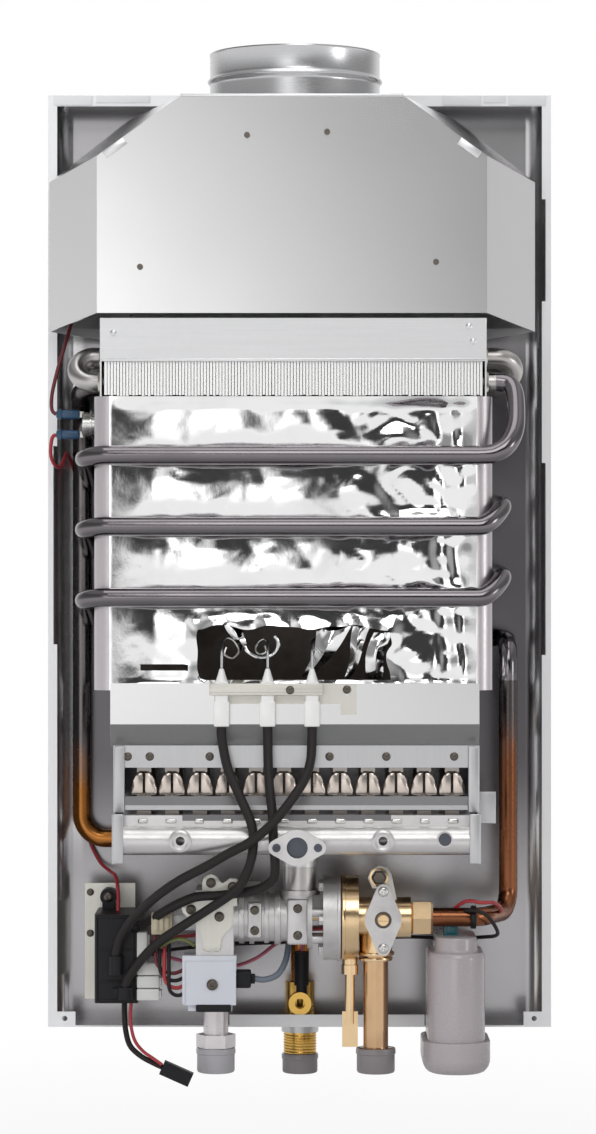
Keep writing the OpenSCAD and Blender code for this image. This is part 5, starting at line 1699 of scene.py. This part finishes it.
@dataclass
class GasTrain:
    """Rings, screws and plugs on the gas valve and its solenoid."""

    depth: float = 108.0
    height: float = 80.0
    barrel: float = 15.4
    rings: tuple[Point, ...] = ((-37.0, 16.6, 1.6), (-21.0, 16.4, 1.4), (-14.0, 17.4, 1.8))
    ears: tuple[Pair, ...] = ((-56.3, 103.0), (-69.0, 86.0), (-42.5, 100.5))
    plate: float = 121.0
    plate_screw: Pair = (-51.0, 81.5)
    pad_front: float = 125.0
    pad_screws: tuple[Pair, ...] = ((-1.2, 70.0), (-1.2, 87.0), (-28.5, 73.0), (-28.5, 86.0))
    yoke_front: Pair = (118.4, 119.7)
    yoke_screw: Point = (-55.6, 119.0, 38.0)
    stub: Pair = (-54.0, 84.0)
    outline: tuple[Pair, ...] = (
        (-56.3, 108.5), (-51.8, 106.3), (-50.4, 102.6), (-47.6, 102.4), (-45.6, 105.2), (-42.0, 106.0),
        (-38.4, 104.2), (-37.2, 100.5), (-38.4, 96.6), (-39.8, 92.0), (-39.6, 86.0), (-40.6, 79.0),
        (-44.5, 73.5), (-48.8, 70.0), (-50.4, 65.0), (-50.8, 59.6), (-60.6, 59.6), (-61.2, 65.0),
        (-62.8, 71.0), (-66.2, 76.5), (-70.0, 80.2), (-74.2, 83.6), (-74.6, 88.4), (-71.8, 91.6),
        (-67.0, 92.4), (-63.6, 94.4), (-62.0, 98.5), (-61.6, 104.0), (-60.0, 107.2), (-56.3, 108.5),
    )

    def build(self) -> None:
        """Builds the casting's ribs, the eared plate, the screws and the solenoid's trim."""
        self.ribs()
        self.face_plate()
        self.screws()
        self.solenoid()

    def ribs(self) -> None:
        """Builds rings round the barrel, pads on its front and a ring on the inlet stub."""
        cast = Shape()
        root = self.barrel - 1
        for x, r, half in self.rings:
            profile = [(root, -half - 0.5), (r, -half), (r + 0.2, 0.0), (r, half), (root, half + 0.5)]
            cast.turned(profile, (x, self.depth, self.height), Axis.ACROSS, 48, loop=True)
        cast.box((-8.0, 5.6), (119.0, 125.4), (64.0, 93.0), 1.5)
        cast.box((-33.0, -24.0), (119.0, 124.8), (68.0, 91.0), 1.5)
        cast.turned([(9.4, 52.5), (10.6, 53.2), (10.6, 55.4), (9.4, 56.2)], (*self.stub, 0.0), Axis.UP, 40)
        cast.piece("valve_ribs", DIE_CAST)

    def face_plate(self) -> None:
        """Cuts the eared plate that narrows towards the solenoid."""
        round_line = curve_through([(x, z, 0.0) for x, z in self.outline], 4)[:-1]
        plate = Shape().plate([(p.x, p.y) for p in round_line], on_front, self.plate - 3.0, self.plate, 0.7)
        plate.piece("valve_face_plate", CREAM_ZINC, replaces=("gas_valve_plate",))

    def screws(self) -> None:
        """Builds the screws on plate, pads and yoke."""
        screws = Shape()
        for x, z in (*self.ears, self.plate_screw):
            screws.screw((x, self.plate, z), 3.2, 1.8, 28)
        for x, z in self.pad_screws:
            screws.screw((x, self.pad_front, z), 2.9, 1.8)
        screws.screw(self.yoke_screw, 3.6, 2.2, 28)
        screws.piece("valve_screws", SCREW_DARK)

    def solenoid(self) -> None:
        """Builds the solenoid's foot, its plug and the raised rim of its yoke."""
        box = Shape().box((-66.0, -43.6), (93.0, 119.8), (20.6, 25.4), 1.0)
        box.box((-41.4, -31.0), (100.0, 113.0), (35.0, 46.0), 1.3)
        box.box((-31.6, -28.4), (103.5, 109.5), (37.5, 43.5), 0.8)
        box.piece("solenoid_foot", BLACK_PLASTIC)
        frame = Shape().box((-74.6, -40.0), self.yoke_front, (53.0, 56.6), 0.5)
        frame.box((-74.6, -72.6), self.yoke_front, (25.4, 54.0), 0.5)
        frame.box((-42.2, -40.2), self.yoke_front, (46.5, 54.0), 0.5)
        frame.piece("solenoid_frame", PALE_BOX)


@dataclass
class WaterValve:
    """Bolts, rims and the chamfered nut of the water valve."""

    depth: float = 108.0
    height: float = 80.0
    housing: float = 27.0
    grey_rim: float = 25.0
    brass_rim: float = 28.0
    rim: tuple[Pair, ...] = ((-0.6, -1.4), (0.5, -1.0), (0.7, 0.0), (0.5, 1.0), (-0.6, 1.4))
    bolt_circle: float = 23.4
    bolts: int = 6
    cover: float = 15.0
    nut: Pair = (71.0, 85.0)
    nut_radius: float = 11.8
    regulator_x: float = 53.0
    regulator_face: float = 128.0
    regulator_screws: Pair = (-18.0, 18.0)
    cold_x: float = 48.7
    collars: tuple[Pair, ...] = ((57.0, 11.6), (53.6, 10.6))
    stay: tuple[Pair, ...] = (
        (43.5, 105.5), (45.5, 110.5), (50.5, 113.4), (56.0, 112.6), (58.6, 108.0), (62.8, 88.0), (58.0, 88.0),
        (54.4, 98.6), (46.4, 98.6),
    )
    stay_bolt: Point = (50.6, 113.3, 105.8)

    def build(self) -> None:
        """Builds bolts, rims, nut, collars and the regulator's trim."""
        self.casing()
        self.hexagon()
        self.regulator()

    def casing(self) -> None:
        """Builds the rims of both halves, the bolts round them and the collars above the cold pipe."""
        grey, brass = Shape(), Shape()
        for x, shape in ((self.grey_rim, grey), (self.brass_rim, brass)):
            profile = [(self.housing + out, along) for out, along in self.rim]
            shape.turned(profile, (x, self.depth, self.height), Axis.ACROSS, 72, loop=True)
        for k in range(self.bolts):
            a = 2 * math.pi * (k + 0.5) / self.bolts
            d, z = self.bolt_circle * math.sin(a), self.bolt_circle * math.cos(a)
            at = (self.cover, self.depth + d, self.height + z)
            grey.turned([(0.0, -3.0), (2.4, -3.0), (2.9, -2.6), (2.9, 0.1)], at, Axis.ACROSS, 6)
        grey.piece("housing_bolts", DIE_CAST, smooth=Crease.FLATS)
        for z, r in self.collars:
            profile = [(7.6, z - 1.4), (r, z - 1.0), (r + 0.3, z), (r, z + 1.0), (7.6, z + 1.4)]
            brass.turned(profile, (self.cold_x, self.depth, 0.0), Axis.UP, 48)
        brass.piece("brass_collars", BRASS)

    def hexagon(self) -> None:
        """Builds the chamfered union nut."""
        r, long = self.nut_radius, self.nut[1] - self.nut[0]
        profile = [
            (8.2, 0.0), (r - 1.5, 0.0), (r, 1.4), (r, long - 1.4), (r - 1.5, long), (6.2, long), (6.2, 9.2),
            (8.2, 9.0),
        ]
        nut = Shape().turned(profile, (self.nut[0], self.depth, self.height), Axis.ACROSS, 6, loop=True)
        nut.piece("union_hexagon", BRASS, replaces=("union_nut",), smooth=Crease.FLATS)

    def regulator(self) -> None:
        """Builds the regulator's screws, its stay with a bolt and washer, and the spindle's seal."""
        screws = Shape()
        for rise in self.regulator_screws:
            at = (self.regulator_x, self.regulator_face, self.height + rise)
            screws.screw(at, 3.3, 1.8, 28)
        screws.piece("regulator_screws", SCREW_ZINC)
        Shape().plate(self.stay, on_front, 112.0, 113.4, 0.4).piece("regulator_stay", CREAM_ZINC)
        ring = [(4.8, 0.9), (6.0, 0.7), (6.2, -0.2), (4.8, -0.2)]
        Shape().turned(ring, self.stay_bolt, Axis.FORWARD, 40, loop=True).piece("stay_washer", BRASS)
        bolt = Shape().turned(
            [(0.0, 4.4), (3.7, 4.4), (4.8, 3.5), (4.8, -0.2)], self.stay_bolt, Axis.FORWARD, 6
        )
        bolt.piece("stay_bolt", SCREW_DARK, smooth=Crease.FLATS)
        ring = sleeve(3.55, 5.0, 126.05, 126.35)
        seal = Shape().turned(ring, (self.regulator_x, 0.0, self.height), Axis.FORWARD, 40, loop=True)
        seal.piece("spindle_seal", SCREW_DARK)


@dataclass
class Fitting:
    """A threaded end and the grey plug on it, a cup over the thread or a stopper below it."""

    name: str
    x: float
    depth: float
    thread: float
    node: str
    body: str
    finish: Finish
    cup: bool = True
    length: float = 14.0
    radius: float = 10.48
    pitch: float = 1.8
    steps: int = 28
    plug_finish: Finish = GREY_CAP

    def build(self) -> None:
        """Builds the thread's ridge and the plug."""
        top, end, r = self.thread, self.thread - self.length, self.radius + 0.05
        turns = (self.length - 1.2) / self.pitch
        ridge = []
        for i in range(int(turns * self.steps) + 1):
            a = 2 * math.pi * i / self.steps
            z = end + 0.6 + self.pitch * i / self.steps
            ridge.append(Vector((self.x + r * math.cos(a), self.depth + r * math.sin(a), z)))
        Shape().pipe(ridge, 0.5, 6).piece(self.name + "_thread", self.finish, smooth=Crease.THREAD)
        if self.cup:
            profile = [
                (0.0, end - 2.3), (10.4, end - 2.3), (11.6, end - 1.9), (12.15, end - 0.8),
                (12.15, end + 9.6), (12.7, end + 10.2), (12.7, end + 12.6), (12.4, top - 0.4),
                (11.6, top - 0.35), (11.36, top - 0.8), (11.36, end - 0.1), (5.6, end - 0.1),
                (5.6, end + 7.4), (5.2, end + 7.9), (0.0, end + 7.9),
            ]
        else:
            profile = [
                (0.0, end - 13.3), (10.2, end - 13.3), (11.2, end - 12.9), (11.6, end - 11.9),
                (11.6, end - 4.2), (12.1, end - 3.7), (12.1, end - 1.3), (11.6, end - 0.4), (6.9, end - 0.3),
                (6.9, end + 8.2), (6.5, end + 8.7), (0.0, end + 8.7),
            ]
        Shape().turned(profile, (self.x, self.depth, 0.0), Axis.UP, 56).piece(
            self.name + "_plug", self.plug_finish, body=self.body, replaces=(self.node,))


FITTINGS = (
    Fitting("gas", -54.0, 84.0, -6.0, "gas_cap", "gas_cap_body", STUB_SATIN, plug_finish=LIGHT_CAP),
    Fitting("cold", 48.7, 108.0, -3.0, "cold_cap", "cold_cap_body", PIPE_COPPER),
    Fitting("hot", 0.3, 26.0, -3.0, "hot_cap", "hot_cap_body", THREAD_BRASS, cup=False),
)


@dataclass
class BatteryCase:
    """Round-ended battery box, its neck and its hinged lid."""

    x: float = 100.0
    depths: Pair = (76.0, 110.0)
    inner: float = 17.0
    outer: float = 18.4
    lid: float = 21.7
    hinge: Pair = (53.1, 0.5)
    arms: Pair = (-9.0, 9.0)
    half_arm: float = 1.5
    half_tab: float = 7.0

    def build(self) -> None:
        """Builds the box and the lid."""
        self.shell()
        self.cover()

    def shell(self) -> None:
        """Builds the box with its neck, its foot and the arms that hold the hinge pin."""
        r, s = self.outer, self.inner
        box = Shape()
        self.loft(box, (
            (0.0, 56.4), (s, 56.4), (s, -5.0), (r, -5.0), (r, 54.4), (r - 0.3, 56.3), (r - 1.4, 57.9),
            (r - 4.0, 58.5), (r - 4.8, 59.3), (r - 5.0, 60.4), (r - 5.0, 66.2), (r - 5.5, 67.5),
            (r - 6.6, 68.0), (0.0, 68.0),
        ))
        d, z = self.hinge
        rear = self.depths[0] - r + 2
        box.box((self.x - 11, self.x + 11), (14.0, rear), (3.0, 6.0), 0.6)
        for way in self.arms:
            span = (self.x + way - self.half_arm, self.x + way + self.half_arm)
            box.box(span, (d - 2.5, d + 1.0), (z - 2.5, 5.0), 0.5)
            box.box(span, (d - 2.5, rear), (2.2, 5.0), 0.4)
        box.turned(sleeve(0.0, 1.2, -10.0, 10.0), (self.x, d, z), Axis.ACROSS, 16)
        box.piece("battery_shell", SMOKE_PLASTIC, replaces=("battery_box",))

    def cover(self) -> None:
        """Builds the lid with its grip and the barrel that turns on the hinge pin."""
        r = self.lid
        lid = Shape()
        self.loft(lid, (
            (0.0, -16.7), (18.7, -16.7), (18.7, 1.7), (21.3, 1.7), (r, 1.3), (r, -9.8), (21.5, -12.0),
            (20.8, -14.2), (19.6, -16.2), (18.0, -17.8), (15.8, -18.7), (0.0, -18.7),
        ))
        d, z = self.hinge
        span = (self.x - self.half_tab, self.x + self.half_tab)
        lid.box(span, (86.0, 100.0), (-20.6, -18.2), 0.9)
        barrel = sleeve(1.5, 2.4, -self.half_tab, self.half_tab)
        lid.turned(barrel, (self.x, d, z), Axis.ACROSS, 24, loop=True)
        lid.box(span, (d + 1.4, self.depths[0] - r + 1.6), (z - 2.4, z - 0.2), 0.3)
        lid.piece("battery_cover", SMOKE_PLASTIC, body="battery_lid_body", replaces=("battery_lid",))

    def loft(self, shape: Shape, rings: Sequence[Pair], sides: int = 22) -> None:
        """Lofts a round-ended outline through rings.

        Args:
            shape: where the form goes.
            rings: radius and height of each ring; the first and the last close on a line.
            sides: steps round each end.
        """
        lines = []
        for r, z in rings:
            ring: list[bmesh.types.BMVert] = []
            for d, start in ((self.depths[1], 0.0), (self.depths[0], math.pi)):
                for i in range(sides + 1):
                    a = start + math.pi * i / sides
                    ring.append(shape.bm.verts.new(row((self.x + r * math.cos(a), d + r * math.sin(a), z))))
            lines.append(ring)
        shape.skin(lines)


@dataclass
class Harness:
    """Plugs and small wires between igniter, solenoid, switch and batteries."""

    carrier: Point = (-88.0, 103.0, 75.6)
    pins: tuple[float, ...] = (-3.6, 0.0, 3.6)
    entry: float = -74.0
    rise: float = math.radians(37)
    wire: float = 1.25
    loops: tuple[tuple[str, float, Finish, float, float], ...] = (
        ("solenoid_wire_a", -4.5, MAROON_WIRE, 46.0, 0.0), ("solenoid_wire_b", -1.6, RUBBER, 41.0, 1.2),
        ("solenoid_wire_c", 1.6, RED_WIRE, 36.0, 2.4), ("solenoid_wire_d", 4.5, RUBBER, 31.0, 3.6),
    )

    def build(self) -> None:
        """Builds the plugs, then the wires that end in them."""
        x, d, z = self.carrier
        plug = Shape().box((x - 6.8, x + 6.8), (d - 4, d + 5), (z - 7, z + 7), 1.0)
        for k in self.pins:
            plug.box((x + k - 1.2, x + k + 1.2), (d + 4.4, d + 6.0), (z - 4.5, z + 4.5), 0.4)
        plug.piece("pilot_plug", BEIGE_NYLON)
        Shape().box((x - 7.4, -65.4), (d - 6, d - 4.4), (z - 5, z + 5), 0.5).piece("plug_bracket", PLATED)
        for name, k, finish, end, push in self.loops:
            Lead(name, self.loop(k, end, push), self.wire, finish, stiffness="limp", steps=3).build()
        Lead("switch_cable", (
            (-28.6, 106.5, 40.5), (-22, 107, 40), (-14, 105, 43), (-9, 98, 51), (-7, 90, 61),
            (-6.5, 84.5, 68), (-6.5, 83, 73)), 2.0, CABLE_GREY).build()
        Lead("earth_wire", (
            (-96.8, 90, 60), (-93, 98, 59.5), (-88, 107, 61.5), (-82.5, 113, 65.2), (-77, 115.5, 66.8),
            (-72, 116, 65.8), (-67, 115, 62.6)), self.wire, OLIVE_WIRE, stiffness="limp").build()
        self.battery_wires()

    def loop(self, k: float, end: float, push: float) -> list[Point]:
        """The route of one solenoid wire, straight down from its pin and round into the box.

        Args:
            k: where its pin stands beside the plug's middle.
            end: height at which it goes into the box.
            push: how far it comes forward on the way.

        Returns:
            The points of the route.
        """
        x, d, z = self.carrier
        top, sweep = z - 6.8, math.pi / 2 + self.rise
        bend = (self.entry - x - k) / (1 + math.sin(self.rise))
        level = end + bend * math.cos(self.rise)
        drops = max(2, round((top - level) / (bend * sweep / 4)))
        line = [(x + k, top + (level - top) * i / drops) for i in range(drops)]
        for t in (sweep * i / 4 for i in range(5)):
            line.append((x + k + bend * (1 - math.cos(t)), level - bend * math.sin(t)))
        shares = [i / (len(line) - 1) for i in range(len(line))]
        return [(a, d + push * s + 3 * math.sin(math.pi * s), h) for (a, h), s in zip(line, shares)]

    def battery_wires(self) -> None:
        """Builds the battery plug, its wires round the riser and the strap."""
        plug = Shape().box((92.0, 101.5), (95.0, 104.5), (66.6, 77.0), 1.0)
        plug.box((94.0, 99.5), (104.0, 105.6), (69.0, 75.0), 0.6)
        plug.piece("battery_plug", TEAL_SLEEVE)
        Lead("battery_wire_red", (
            (95.0, 99, 76.8), (97, 103, 83), (106, 113, 90.5), (116, 117, 90), (124, 112, 89.5),
            (129, 98, 84), (124, 74, 76), (104, 44, 70), (74, 16, 66), (40, 9, 64), (0, 8, 62), (-50, 9, 60),
            (-86, 22, 58), (-97, 52, 58), (-104, 64, 60)), 1.2, RED_WIRE, stiffness="limp").build()
        Lead("battery_wire_black", (
            (98.5, 99, 76.8), (101, 104, 81), (108, 115, 85), (118, 119, 83), (125, 117, 74), (126, 104, 68),
            (118, 76, 64), (100, 44, 60), (72, 14, 58), (40, 6, 56), (0, 6, 54), (-50, 6, 52), (-86, 20, 50),
            (-97, 50, 50), (-104, 62, 52)), 1.2, RUBBER, stiffness="limp").build()
        strap = Shape().turned(sleeve(6.1, 7.4, -1.6, 1.6), (111.0, 108.0, 80.0), Axis.ACROSS, 32, loop=True)
        strap.box((109.2, 112.8), (113.5, 118.5), (77.5, 82.5), 0.7)
        strap.piece("pipe_strap", BLACK_PLASTIC)


SUB_ASSEMBLIES = (
    FlueTop(), PanelTrim(), FoilWrap(), Coil(), FinPack(), Burner(), Ignition(), OverheatSwitch(), GasTrain(),
    WaterValve(), *FITTINGS, BatteryCase(), Harness(),
)


def main() -> None:
    """Builds the heater's looks in order."""
    logging.basicConfig(level=logging.INFO, format="%(name)s: %(message)s")
    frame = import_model()
    Studio().build()
    dress_nodes(frame)
    for lead in (*IGNITION_LEADS, OVERHEAT_LEAD, PROBE_LEAD, DISPLAY_WIRE):
        lead.build()
    DISPLAY_LEAD.build([frame["nodes"]["display_plug"]])
    for assembly in SUB_ASSEMBLIES:
        assembly.build()


if __name__ == "__main__":
    main()
